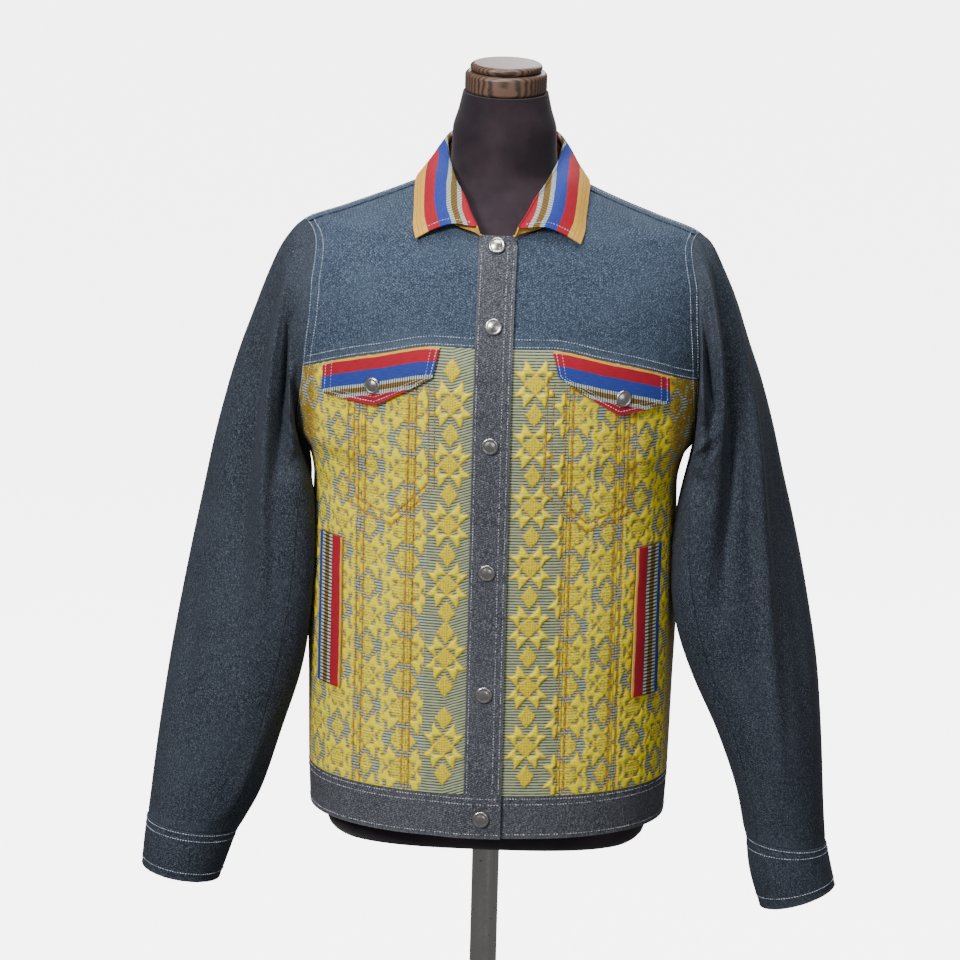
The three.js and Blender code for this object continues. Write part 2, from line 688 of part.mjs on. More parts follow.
// The collar's section at one station: up from the neck seam, over the fold and down the leaf.
function collarPath(station, side) {
  const at = (name) => new THREE.Vector3(station[name + "X"], station[name + "Y"], station[name + "Z"]);
  const [neck, fold, edge] = [at("neck"), at("fold"), at("edge")];
  const away = edge.clone().sub(fold).setZ(0).normalize();
  const up = new THREE.Vector3(0, 0, 1);
  const moved = (point, outwards, upwards) =>
    point.clone().addScaledVector(away, outwards).addScaledVector(up, upwards);
  const shoulder = moved(fold, 1.6 * COLLAR_ROLL, -0.1 * COLLAR_ROLL);
  const leaf = (share) => {
    const bulge = station.bulge * Math.sin(Math.PI * share ** 0.7);
    return moved(shoulder.clone().lerp(edge, share), 0.5 * bulge, 0.7 * bulge);
  };
  const stand = moved(neck.clone().lerp(fold, 0.45), 0, -COLLAR_STAND_SAG);
  const path = [neck, stand, moved(fold, 0, -COLLAR_ROLL)];
  path.push(moved(fold, 0.55 * COLLAR_ROLL, 0.35 * COLLAR_ROLL), shoulder);
  path.push(leaf(0.3), leaf(0.65), edge);
  return path.map((p) => p.setX(side * p.x));
}

function collar() {
  const right = COLLAR.map((station) => collarPath(station, -1));
  const left = COLLAR.slice(0, -1).map((station) => collarPath(station, 1));
  const stations = [...right, ...left.reverse()];
  const outer = stations[0].map((_, r) => stations.map((path) => path[r]));
  const [rows, columns] = [outer.length, stations.length];
  const inner = outer.map((row, r) =>
    row.map((p, c) => {
      const down = outer[Math.min(rows - 1, r + 1)][c].clone().sub(outer[Math.max(0, r - 1)][c]);
      const along = outer[r][Math.min(columns - 1, c + 1)].clone().sub(outer[r][Math.max(0, c - 1)]);
      return p.clone().addScaledVector(along.cross(down).normalize(), -COLLAR_THICK);
    }),
  );
  return wallGeometry(outer, inner);
}

// A snap cap: a low dome, standing on the cloth with its axis along the surface's normal.
function snapCap(x, height, out) {
  const profile = [
    [0, 0],
    [SNAP_RADIUS - 0.4, 0],
    [SNAP_RADIUS, 0.7],
    [SNAP_RADIUS - 0.5, 1.5],
    [4, 2.3],
    [0, 2.6],
  ];
  const dome = new THREE.LatheGeometry(profile.map(([r, y]) => new THREE.Vector2(r, y)), 16);
  const p = clothPoint(angleAtX(x, height), height);
  const normal = bodyNormal(p);
  const turn = new THREE.Quaternion().setFromUnitVectors(new THREE.Vector3(0, 1, 0), normal);
  dome.applyQuaternion(turn);
  p.addScaledVector(normal, out);
  return dome.translate(p.x, p.y, p.z);
}

function formTorso() {
  const heights = [-28, -25, -15, 2, 60, 140, 220, 270, 310, 345, 380, 420, 460, 490, 515, 532, 545];
  heights.push(552, 559, 566, 573, 579, 585, 592, 603, 620, 638, 655, 671);
  const columns = 28;
  const rings = heights.map((height) =>
    Array.from({ length: columns }, (_, i) => sectionPoint(FORM, (2 * Math.PI * i) / columns, height)),
  );
  return loftGeometry(rings);
}

// A solid turned about the upright axis through the stand, from radii and heights.
function turned(profile, segments) {
  const lathe = new THREE.LatheGeometry(profile.map(([r, z]) => new THREE.Vector2(r, z)), segments);
  return lathe.rotateX(Math.PI / 2);
}

function lowerCap() {
  const { foot, rim, lowRadius: r } = CAP;
  return turned([[0, foot], [r - 1.5, foot], [r, foot + 2], [r, rim - 2.5], [r - 2, rim], [0, rim]], 32);
}

function upperCap() {
  const { rim, top, topRadius: r, grooveRadius: groove } = CAP;
  const foot = rim + SEAM_GAP;
  return turned([[0, foot], [groove, foot], [r, foot + 2.2], [r, top - 2.4], [r - 3, top - 0.4], [0, top]], 32);
}

function pole() {
  const [foot, head] = [STAND.bossHeight + SEAM_GAP, HEM_Z + FORM[0].height - SEAM_GAP];
  return turned([[0, foot], [STAND.poleRadius, foot], [STAND.poleRadius, head], [0, head]], 28);
}

function base() {
  const { baseRadius: r, baseHeight: h, bossRadius: boss, bossHeight: top } = STAND;
  const profile = [[0, 0], [r - 1, 0], [r, 1.5], [r, h - 5], [r - 5, h - 1], [boss + 3, h + 1], [boss, h + 4]];
  return turned([...profile, [boss - 2, top - 1.5], [boss - 4, top], [0, top]], 40);
}

const jacket = new THREE.Group();
jacket.position.z = HEM_Z;
const stand = new THREE.Group();
const root = new THREE.Group();
root.add(jacket, stand);

function add(group, name, geometry, finish) {
  const [color, roughness, metalness] = COLOURS[finish];
  const mesh = new THREE.Mesh(geometry, new THREE.MeshStandardMaterial({ color, roughness, metalness }));
  mesh.name = name;
  group.add(mesh);
}

const SIDES = [
  { name: "right", side: -1, rings: RIGHT_SLEEVE, folds: RIGHT_FOLDS, cuff: RIGHT_CUFF, flap: FLAP_RIGHT },
  { name: "left", side: 1, rings: LEFT_SLEEVE, folds: LEFT_FOLDS, cuff: LEFT_CUFF, flap: FLAP_LEFT },
];
const SLEEVE_STEPS = [0, 0.5, 1, 1.5, 2, 3, 4, 5, 6, 7, 8, 9, 10, 11, 12, 13];

for (const { name, side, rings, folds, cuff: cuffRings, flap: flapSize } of SIDES) {
  const half = SEAM_GAP / 2;
  add(jacket, `front_yoke_${name}`, frontYoke(side), "denim");
  add(jacket, `front_centre_${name}`, frontPanel(side, UNDER_PLACKET_HALF + SEAM_GAP, INNER_SEAM_X - half), "jacquard");
  add(jacket, `front_middle_${name}`, frontPanel(side, INNER_SEAM_X + half, OUTER_SEAM_X - half), "jacquard");
  add(jacket, `front_side_${name}`, sidePanel(side), "jacquard");
  add(jacket, `pocket_flap_${name}`, flap(side, flapSize), "stripe");
  add(jacket, `pocket_welt_${name}`, welt(side), "stripe");
  const sleeve = new Sleeve(side, rings, folds);
  const seamGap = 0.32;
  const [front, back] = [SLEEVE_SEAM_FRONT, SLEEVE_SEAM_BACK];
  add(jacket, `sleeve_top_${name}`, sleeve.piece(back - 360 + seamGap, front - seamGap, 24, SLEEVE_STEPS), "denim");
  add(jacket, `sleeve_under_${name}`, sleeve.piece(front + seamGap, back - seamGap, 11, SLEEVE_STEPS), "denim");
  add(jacket, `cuff_${name}`, cuff(side, cuffRings), "denim");
  const flapTop = JACQUARD + LAYER_GAP + FLAP_LIFT;
  add(jacket, `flap_snap_${name}`, snapCap(side * flapSize.snapX, flapSize.snapZ, flapTop), "metal");
}
add(jacket, "back_panel", backPanel(), "jacquard");
add(jacket, "back_yoke", backYoke(), "denim");
add(jacket, "hem_band", hemBand(), "charcoal");
const placketOut = DOUBLED + LAYER_GAP;
add(jacket, "placket_over", placket(PLACKET_RIGHT_EDGE, PLACKET_LEFT_EDGE, placketOut, DOUBLED), "charcoal");
add(jacket, "placket_under", placket(-UNDER_PLACKET_HALF, UNDER_PLACKET_HALF, 0, JACQUARD), "charcoal");
add(jacket, "collar", collar(), "stripe");
[...FRONT_SNAPS, HEM_SNAP].forEach((height, i) => {
  add(jacket, `snap_${i + 1}`, snapCap(0, height, placketOut + LAYER_GAP), "metal");
});
add(jacket, "form_torso", formTorso(), "form");
add(jacket, "neck_cap_lower", lowerCap(), "wood");
add(jacket, "neck_cap_upper", upperCap(), "wood");
add(stand, "stand_pole", pole(), "steel");
add(stand, "stand_base", base(), "base");

export default root;
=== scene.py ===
"""The looks of a trucker jacket on a limbless dress form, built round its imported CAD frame.

Sizes are in millimetres, and the jacket's heights are measured up from its hem. Its front faces
-Y and the wearer's left is +X. The cloth of the body is one smooth surface, given by level
sections, and each panel, band, flap and row of stitches is placed on it.
"""
import logging
import math
from dataclasses import dataclass, field
from enum import Enum
from typing import NamedTuple, Sequence, Union

import bpy
import numpy as np
from mathutils import Matrix, Vector


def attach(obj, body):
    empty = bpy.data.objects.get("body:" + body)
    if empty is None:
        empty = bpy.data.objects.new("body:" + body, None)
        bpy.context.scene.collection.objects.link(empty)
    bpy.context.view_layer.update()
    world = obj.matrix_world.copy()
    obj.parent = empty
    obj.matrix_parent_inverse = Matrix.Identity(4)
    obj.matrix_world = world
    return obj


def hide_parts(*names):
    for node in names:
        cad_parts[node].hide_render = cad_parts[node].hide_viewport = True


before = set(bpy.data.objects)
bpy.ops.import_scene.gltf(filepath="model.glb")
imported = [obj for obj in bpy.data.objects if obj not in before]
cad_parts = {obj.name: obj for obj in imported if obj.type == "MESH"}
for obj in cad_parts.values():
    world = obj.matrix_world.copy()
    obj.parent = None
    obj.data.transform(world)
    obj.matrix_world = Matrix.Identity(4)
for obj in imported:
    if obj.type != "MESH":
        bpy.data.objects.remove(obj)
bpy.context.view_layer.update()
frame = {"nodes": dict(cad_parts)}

log = logging.getLogger("trucker_jacket")

Array = np.ndarray
Number = Union[float, Array]
Point2 = tuple[float, float]
Piece = bpy.types.Object
Material = bpy.types.Material
Node = bpy.types.Node
Tree = bpy.types.NodeTree

MM = 0.001
HEM_Z = 700.0
BAND_HEIGHT = 41.0
SHOULDER_POINT = 546.0
FRONT_NECK = 556.0
SIDE_NECK = 590.0

DENIM_THICK = 1.6
JACQUARD_THICK = 2.0
DOUBLED = 2.6
SEAM_GAP = 0.4
LAYER_GAP = 0.35
INNER_STEP = 3
BODY_CLEARANCE = 2.0

PLACKET_RIGHT_EDGE = -16.0
PLACKET_LEFT_EDGE = 18.0
UNDER_PLACKET_HALF = 14.0
INNER_SEAM_X = 71.0
OUTER_SEAM_X = 117.0
SHOULDER_SEAM_Y = -12.0
NECK_HALF_WIDTH = 65.0
BACK_YOKE_HEIGHT = 440.0


class Side(Enum):
    """The wearer's side, with the sign of its X."""

    RIGHT = -1
    LEFT = 1

    @property
    def word(self) -> str:
        """The side's name in node and piece names."""
        return self.name.lower()


class Slot(Enum):
    """The material slots."""

    DENIM = "denim"
    CHARCOAL = "charcoal_denim"
    JACQUARD = "jacquard"
    STRIPE = "striped_cotton"
    SNAP = "snap_metal"
    FORM = "form_jersey"
    WOOD = "wood"
    POLE = "pole_steel"
    BASE = "base_paint"


class Curve:
    """A smooth curve through knots, which never overshoots them."""

    def __init__(self, at: Sequence[float], values: Sequence[float]) -> None:
        """Fits the curve.

        Args:
            at: where the knots lie, in rising order.
            values: the curve's value at each knot.
        """
        self.at = np.array(at, float)
        self.values = np.array(values, float)
        slope = np.diff(self.values) / np.diff(self.at)
        before, after = slope[:-1], slope[1:]
        same_way = before * after > 0
        total = np.where(same_way, before + after, 1)
        inner = np.where(same_way, 2 * before * after / total, 0)
        self.tangent = np.concatenate([slope[:1], inner, slope[-1:]])

    def __call__(self, x: Number) -> Array:
        """The curve's value at x, held at the end values beyond the knots."""
        x = np.clip(x, self.at[0], self.at[-1])
        i = np.clip(np.searchsorted(self.at, x, side="right") - 1, 0, len(self.at) - 2)
        span = self.at[i + 1] - self.at[i]
        s = (x - self.at[i]) / span
        ease = s * s * (3 - 2 * s)
        bend = s * (1 - s) * span
        straight = self.values[i] + (self.values[i + 1] - self.values[i]) * ease
        return straight + bend * ((1 - s) * self.tangent[i] - s * self.tangent[i + 1])


def smooth(share: Number) -> Array:
    """A share from 0 to 1, eased at both ends."""
    s = np.clip(share, 0, 1)
    return s * s * (3 - 2 * s)


def mix(a: Number, b: Number, share: Number) -> Array:
    """The value a share of the way from a to b."""
    return a + (b - a) * share


def bell(away: Number, wide: float, power: int = 2) -> Array:
    """1 where away is 0, falling to nothing beyond a width."""
    return np.exp(-((away / wide) ** power))


def arch(share: Number) -> Array:
    """0 at both ends of a share from 0 to 1, and 1 halfway."""
    return np.sin(np.pi * np.clip(share, 0, 1))


def travelled(points: Array) -> Array:
    """The distance of each point along a line of points from its first."""
    steps = np.linalg.norm(np.diff(points, axis=0), axis=1)
    return np.concatenate([[0], np.cumsum(steps)])


def spline(knots: Array, at: Array) -> Array:
    """Points of a smooth curve through knots.

    Args:
        knots: points, or rows of points, along the first axis.
        at: places along the curve, counted in knots.

    Returns:
        The points, with one entry of the first axis for each place.
    """
    k = np.clip(np.floor(at).astype(int), 0, len(knots) - 2)
    s = (at - k).reshape(-1, *[1] * (knots.ndim - 1))
    ends = [2 * knots[:1] - knots[1:2], knots, 2 * knots[-1:] - knots[-2:-1]]
    around = np.concatenate(ends)
    p, q, r, t = around[k], around[k + 1], around[k + 2], around[k + 3]
    return q + s * (r - p + s * (2 * p - 5 * q + 4 * r - t + s * (3 * (q - r) + t - p))) / 2


def unit(vectors: Array) -> Array:
    """Vectors made one long."""
    return vectors / np.maximum(np.linalg.norm(vectors, axis=-1, keepdims=True), 1e-9)


class Section(NamedTuple):
    """A level section: its height, half width, depth to front and back, and roundness."""

    height: float
    half: float
    front: float
    back: float
    round: float


class Loft:
    """A smooth surface through level sections, each a rounded oval."""

    def __init__(self, sections: Sequence[Section]) -> None:
        """Keeps one curve for each of the sections' sizes."""
        heights = [section.height for section in sections]
        self.half = Curve(heights, [section.half for section in sections])
        self.front = Curve(heights, [section.front for section in sections])
        self.back = Curve(heights, [section.back for section in sections])
        self.round = Curve(heights, [section.round for section in sections])

    def depth(self, y: Number, height: Number) -> Array:
        """The section's depth on the side of y."""
        return np.where(np.asarray(y) < 0, self.front(height), self.back(height))

    def point(self, angle: Number, height: Number) -> Array:
        """Points at angles, which are 0 at the centre front and a quarter turn at the side."""
        angle, height = np.broadcast_arrays(np.asarray(angle, float), np.asarray(height, float))
        power = 2 / self.round(height)
        s, c = np.sin(angle), np.cos(angle)
        x = self.half(height) * np.sign(s) * np.abs(s) ** power
        y = -self.depth(-c, height) * np.sign(c) * np.abs(c) ** power
        return np.stack([x, y, height], -1)

    def level(self, p: Array) -> Array:
        """A number that is 1 on the surface, and more outside it."""
        x, y, height = p[..., 0], p[..., 1], p[..., 2]
        power = self.round(height)
        across = (np.abs(x) / self.half(height)) ** power
        return across + (np.abs(y) / self.depth(y, height)) ** power

    def normal(self, p: Array) -> Array:
        """The directions that point straight out of the surface at points on it."""
        steps = 0.05 * np.eye(3)
        rises = [self.level(p + step) - self.level(p - step) for step in steps]
        return unit(np.stack(rises, -1))

    def side(self, y: Array, height: Array) -> Array:
        """The half width at a depth and a height, or 0 beyond the section."""
        power = self.round(height)
        share = np.minimum(1, np.abs(y) / self.depth(y, height))
        return self.half(height) * (1 - share**power) ** (1 / power)

    def angle_at_x(self, x: Number, height: Number) -> Array:
        """The angle of the section's front point at x."""
        share = np.minimum(1, np.abs(x) / self.half(height))
        return np.sign(x) * np.arcsin(share ** (self.round(height) / 2))

    def angle_at_y(self, y: Number, height: Number) -> Array:
        """The angle, without its sign, of the section's point at y."""
        share = np.minimum(1, np.abs(y) / self.depth(y, height))
        turn = np.arccos(share ** (self.round(height) / 2))
        return np.where(np.asarray(y) < 0, turn, np.pi - turn)


BODY = Loft([
    Section(0, 164, 126, 106, 2.2),
    Section(41, 166, 128, 107, 2.2),
    Section(120, 168, 130, 106, 2.2),
    Section(200, 170, 134, 104, 2.25),
    Section(260, 168, 136, 105, 2.25),
    Section(310, 167, 138, 109, 2.25),
    Section(340, 173, 139, 112, 2.2),
    Section(360, 186, 140, 113, 2.15),
    Section(400, 196, 140, 114, 2.1),
    Section(440, 200, 137, 111, 2.1),
    Section(480, 201, 128, 105, 2.0),
    Section(500, 201, 121, 101, 1.9),
    Section(520, 196, 113, 96, 1.75),
    Section(546, 181, 100, 87, 1.5),
    Section(560, 146, 92, 81, 1.45),
    Section(575, 107, 80, 73, 1.5),
    Section(586, 79, 67, 66, 1.7),
    Section(592, 64, 58, 60, 2.0),
])

FORM = Loft([
    Section(-28, 126, 62, 62, 2.8),
    Section(-25, 138, 78, 76, 2.8),
    Section(-15, 147, 92, 88, 2.7),
    Section(2, 150, 103, 96, 2.5),
    Section(60, 149, 114, 100, 2.3),
    Section(140, 139, 112, 95, 2.2),
    Section(220, 130, 112, 92, 2.2),
    Section(300, 143, 124, 99, 2.2),
    Section(350, 158, 132, 105, 2.15),
    Section(400, 166, 134, 108, 2.1),
    Section(440, 170, 131, 105, 2.1),
    Section(480, 173, 122, 99, 2.0),
    Section(510, 175, 112.5, 94, 1.85),
    Section(530, 175, 104, 88, 1.7),
    Section(545, 170, 96.5, 82.5, 1.5),
    Section(558, 144, 86, 77, 1.45),
    Section(572, 108, 69, 70, 1.5),
    Section(583, 80, 54, 61, 1.7),
    Section(590, 60, 48, 53, 1.9),
    Section(600, 50, 44, 47, 2),
    Section(617, 48, 42.5, 44, 2),
    Section(636, 47.5, 41.5, 43, 2),
    Section(655, 42.5, 40, 41, 2),
    Section(671, 39, 39, 39, 2),
])

YOKE_SEAM = Curve([0, 50, 103, 140, 176, 195], [461, 461, 450, 439.5, 424, 415])
SIDE_SEAM = Curve([0, 200, 300, 349], [-34, -32, -20, -2])


@dataclass(frozen=True)
class Armhole:
    """An oval seen from the side, and how far the body's cloth stays back from it."""

    y: float = -2.0
    height: float = 448.0
    half_height: float = 98.0
    front_right: float = 68.0
    front_left: float = 54.0
    back: float = 58.0
    margin: float = 0.8

    def depth(self, side: Side, towards: Number) -> Array:
        """The oval's depth to the front, where towards is negative, or to the back."""
        front = self.front_right if side is Side.RIGHT else self.front_left
        return np.where(np.asarray(towards) < 0, front, self.back)

    def cloth_edge_y(self, side: Side, height: Number, towards: int) -> Array:
        """The y of the body cloth's edge at the armhole, and at the side seam under it."""
        rise = np.abs(height - self.height) / (self.half_height + self.margin)
        depth = self.depth(side, towards) + self.margin
        on_oval = self.y + towards * depth * np.sqrt(np.clip(1 - rise * rise, 0, 1))
        on_seam = SIDE_SEAM(height) + towards * SEAM_GAP / 2
        return np.where(rise < 1, on_oval, on_seam)

    def edge(self, side: Side, degrees: Array) -> Array:
        """The sleeve's edge: 0 degrees at the shoulder, 90 at the front, 180 under the arm."""
        turn = np.radians(degrees)
        depth = self.depth(side, -np.sin(turn))
        height = self.height + self.half_height * np.cos(turn)
        angle = BODY.angle_at_y(self.y - depth * np.sin(turn), height)
        return BODY.point(side.value * angle, height)


ARMHOLE = Armhole()


class Drag(NamedTuple):
    """A soft ridge, or trough if its rise is negative, in the cloth of the body.

    It runs from one place to another, each given by x, height and whether it is on the back.
    """

    start_x: float
    start_height: float
    end_x: float
    end_height: float
    rise: float
    wide: float
    back: bool


DRAGS = [
    Drag(-150, 396, -92, 372, 1.3, 9, False),
    Drag(-150, 360, -118, 318, -1.2, 10, False),
    Drag(-146, 300, -98, 262, 1.0, 11, False),
    Drag(-126, 236, -122, 120, -1.1, 12, False),
    Drag(132, 392, 147, 282, 2.4, 7, False),
    Drag(151, 404, 159, 318, -2.2, 8, False),
    Drag(118, 380, 96, 330, -1.0, 11, False),
    Drag(146, 286, 120, 214, 1.1, 12, False),
    Drag(132, 180, 128, 70, -1.0, 12, False),
    Drag(-90, 500, -130, 462, 0.9, 9, False),
    Drag(104, 512, 136, 470, 0.9, 10, False),
    Drag(-60, 52, -96, 84, 0.8, 9, False),
    Drag(72, 50, 104, 92, 0.8, 9, False),
    Drag(-128, 398, -70, 430, 1.4, 11, True),
    Drag(-134, 350, -64, 340, -1.3, 13, True),
    Drag(130, 380, 62, 408, 1.3, 12, True),
    Drag(132, 316, 58, 300, -1.2, 12, True),
    Drag(-96, 262, -30, 236, 1.2, 13, True),
    Drag(112, 246, 48, 212, 1.2, 12, True),
    Drag(-70, 190, -58, 66, -1.0, 13, True),
    Drag(52, 170, 66, 58, 1.0, 12, True),
    Drag(-20, 520, -64, 466, 0.9, 12, True),
    Drag(28, 514, 76, 470, -0.8, 12, True),
]


UNEVEN_RISE = 0.22
STILL_SIDE_X = 172.0
STILL_FADE = 22.0


def drape(p: Array) -> Array:
    """How far the worn cloth of the body stands off its smooth surface at points on it."""
    x, y, height = p[..., 0], p[..., 1], p[..., 2]
    rise = np.zeros(x.shape)
    for drag in DRAGS:
        along = np.array([drag.end_x - drag.start_x, drag.end_height - drag.start_height])
        length = np.hypot(*along)
        way = along / length
        dx, dh = x - drag.start_x, height - drag.start_height
        share = (dx * way[0] + dh * way[1]) / length
        apart = dx * way[1] - dh * way[0]
        same_face = (y > 0) == drag.back
        bump = arch(share) * bell(apart, drag.wide)
        rise += np.where(same_face, drag.rise * bump, 0)
    uneven = UNEVEN_RISE * np.sin(x / 17 + height / 41) * np.sin(height / 29 - x / 53)
    return (rise + uneven) * smooth((STILL_SIDE_X - np.abs(x)) / STILL_FADE)


def cloth(angle: Number, height: Number, out: Number = 0) -> Array:
    """Points of the body's cloth, moved out of its surface."""
    p = BODY.point(angle, height)
    return p + BODY.normal(p) * (np.asarray(out) + drape(p))[..., None]


def arc_from_front(angle: Array, height: Array) -> Array:
    """The distance round the body from the centre front, along each level row of a grid."""
    turns = np.linspace(0, np.pi, 241)
    rows = []
    for row_angle, row_height in zip(angle, height):
        around = BODY.point(turns, np.full(turns.shape, float(np.mean(row_height))))
        rows.append(np.interp(np.abs(row_angle), turns, travelled(around)))
    return np.stack(rows)


class Wall(NamedTuple):
    """A wall of cloth: its outer and inner grids, and its places across and along the cloth."""

    outer: Array
    inner: Array
    across: Array
    along: Array


def body_wall(angle: Array, height: Array, thickness: float, out: Number = 0, relief: Number = 0) -> Wall:
    """A wall on the body's surface.

    Args:
        angle: the angle of each point of the grid, rows by columns.
        height: the height of each point.
        thickness: the cloth's thickness, inwards from out.
        out: how far the plain outer side stands off the surface.
        relief: how far the pattern rises from the plain outer side.

    Returns:
        The wall, with the distance from the centre front as its place across.
    """
    outer = cloth(angle, height, np.asarray(out) + relief)
    inner = cloth(angle, height, np.asarray(out) - thickness)
    return Wall(outer, inner, arc_from_front(angle, height), height)


def kept_indices(count: int, step: float) -> Array:
    """Every few of count indices, with both ends."""
    groups = max(2, round((count - 1) / step) + 1)
    return np.unique(np.linspace(0, count - 1, groups).round().astype(int))


SHARP_ANGLE = 62.0


def finish_mesh(name: str, points: Array, faces: list) -> Piece:
    """A smooth-shaded object of points in the jacket's millimetres, with sharp rims."""
    mesh = bpy.data.meshes.new(name)
    placed = (points + np.array([0, 0, HEM_Z])) * MM
    mesh.from_pydata(placed.tolist(), [], faces)
    mesh.shade_smooth()
    mesh.set_sharp_from_angle(angle=math.radians(SHARP_ANGLE))
    piece = bpy.data.objects.new(name, mesh)
    bpy.context.scene.collection.objects.link(piece)
    return piece


def wall_object(name: str, wall: Wall, step: float, layers: dict[str, Array]) -> Piece:
    """A closed mesh: the fine outer grid, a coarser inner grid, and rims between them.

    Args:
        name: the node that the piece stands for.
        wall: the grids and the cloth's coordinates.
        step: how many outer cells one inner cell spans.
        layers: values for each outer point, by attribute name.

    Returns:
        The linked object, with the cloth's coordinates in metres as its UV map.
    """
    rows, columns = wall.outer.shape[:2]
    row_ids, column_ids = kept_indices(rows, step), kept_indices(columns, step)
    picked = np.ix_(row_ids, column_ids)
    outer = np.arange(rows * columns).reshape(rows, columns)
    inner = outer.size + np.arange(len(row_ids) * len(column_ids)).reshape(len(row_ids), -1)

    def quads(ids: Array) -> Array:
        """The grid's faces."""
        corners = [ids[:-1, :-1], ids[:-1, 1:], ids[1:, 1:], ids[1:, :-1]]
        return np.stack(corners, -1).reshape(-1, 4)

    faces = quads(outer).tolist() + quads(inner)[:, ::-1].tolist()
    back_rows, back_columns = rows - 1 - row_ids[::-1], columns - 1 - column_ids[::-1]
    borders = [
        (outer[0], inner[0], column_ids),
        (outer[:, -1], inner[:, -1], row_ids),
        (outer[-1, ::-1], inner[-1, ::-1], back_columns),
        (outer[::-1, 0], inner[::-1, 0], back_rows),
    ]
    for line, inner_line, stops in borders:
        for i in range(len(stops) - 1):
            fine = line[stops[i]:stops[i + 1] + 1][::-1].tolist()
            faces.append(fine + [int(inner_line[i]), int(inner_line[i + 1])])

    mid_r, mid_c = rows // 2, columns // 2
    corner = wall.outer[mid_r, mid_c]
    turn = np.cross(wall.outer[mid_r, mid_c + 1] - corner, wall.outer[mid_r + 1, mid_c] - corner)
    if np.dot(turn, corner - wall.inner[mid_r, mid_c]) < 0:
        faces = [face[::-1] for face in faces]

    def joined(values: Array) -> Array:
        """Values for the outer points and then for the inner ones."""
        return np.concatenate([values.reshape(outer.size, -1), values[picked].reshape(inner.size, -1)])

    points = np.concatenate([wall.outer.reshape(-1, 3), wall.inner[picked].reshape(-1, 3)])
    piece = finish_mesh(f"{name}_cloth", points, faces)
    mesh = piece.data
    loops = np.empty(len(mesh.loops), int)
    mesh.loops.foreach_get("vertex_index", loops)
    places = joined(np.stack([wall.across, wall.along], -1)) * MM
    mesh.uv_layers.new(name="cloth").data.foreach_set("uv", places[loops].ravel())
    for key, values in layers.items():
        full = np.broadcast_to(values, wall.across.shape)
        mesh.attributes.new(key, "FLOAT", "POINT").data.foreach_set("value", joined(full).ravel())
    return piece


def ringed_object(name: str, rings: Array) -> Piece:
    """A closed mesh through rings of points, with its two ends filled."""
    count, columns = rings.shape[:2]
    ids = np.arange(count * columns).reshape(count, columns)
    after = np.roll(ids, -1, axis=1)
    quads = np.stack([ids[:-1], after[:-1], after[1:], ids[1:]], -1).reshape(-1, 4)
    faces = quads.tolist() + [ids[0, ::-1].tolist(), ids[-1].tolist()]
    return finish_mesh(name, rings.reshape(-1, 3), faces)


def turned_rings(profile: Sequence[Point2], segments: int) -> Array:
    """Rings about the upright axis from radii and heights."""
    turns = np.linspace(0, 2 * np.pi, segments, endpoint=False)
    radius, height = np.array(profile, float).T
    x = radius[:, None] * np.cos(turns)
    y = radius[:, None] * np.sin(turns)
    return np.stack([x, y, np.broadcast_to(height[:, None], x.shape)], -1)


def filleted(corners: Sequence[Point2], radius: float, steps: int = 4) -> list[Point2]:
    """An outline whose inner corners are rounded.

    Args:
        corners: radii and heights, whose first and last points stay.
        radius: how far along both edges the rounding reaches.
        steps: the number of edges in each rounding.

    Returns:
        The rounded outline.
    """
    path = np.array(corners, float)
    rounded = [tuple(path[0])]
    for before, corner, after in zip(path, path[1:], path[2:]):
        reach_in = min(radius, np.linalg.norm(before - corner) / 2.2)
        reach_out = min(radius, np.linalg.norm(after - corner) / 2.2)
        start = corner + unit(before - corner) * reach_in
        end = corner + unit(after - corner) * reach_out
        for s in np.linspace(0, 1, steps + 1):
            rounded.append(tuple((1 - s) ** 2 * start + 2 * s * (1 - s) * corner + s * s * end))
    return rounded + [tuple(path[-1])]


class Row(NamedTuple):
    """A line that stitches follow: its points and the directions out of the cloth there."""

    points: Array
    outward: Array


def body_row(angle: Array, height: Array, out: Number) -> Row:
    """A stitch line on the body's cloth."""
    points = cloth(angle, height, out)
    return Row(points, BODY.normal(BODY.point(angle, height)))


ROW_PROBE = 0.8
SPINDLE_SHOULDER = 0.34


@dataclass(frozen=True)
class Thread:
    """A row's stitch: its pitch, length, width and how far it stands up."""

    pitch: float = 2.5
    length: float = 1.75
    width: float = 0.78
    rise: float = 0.38


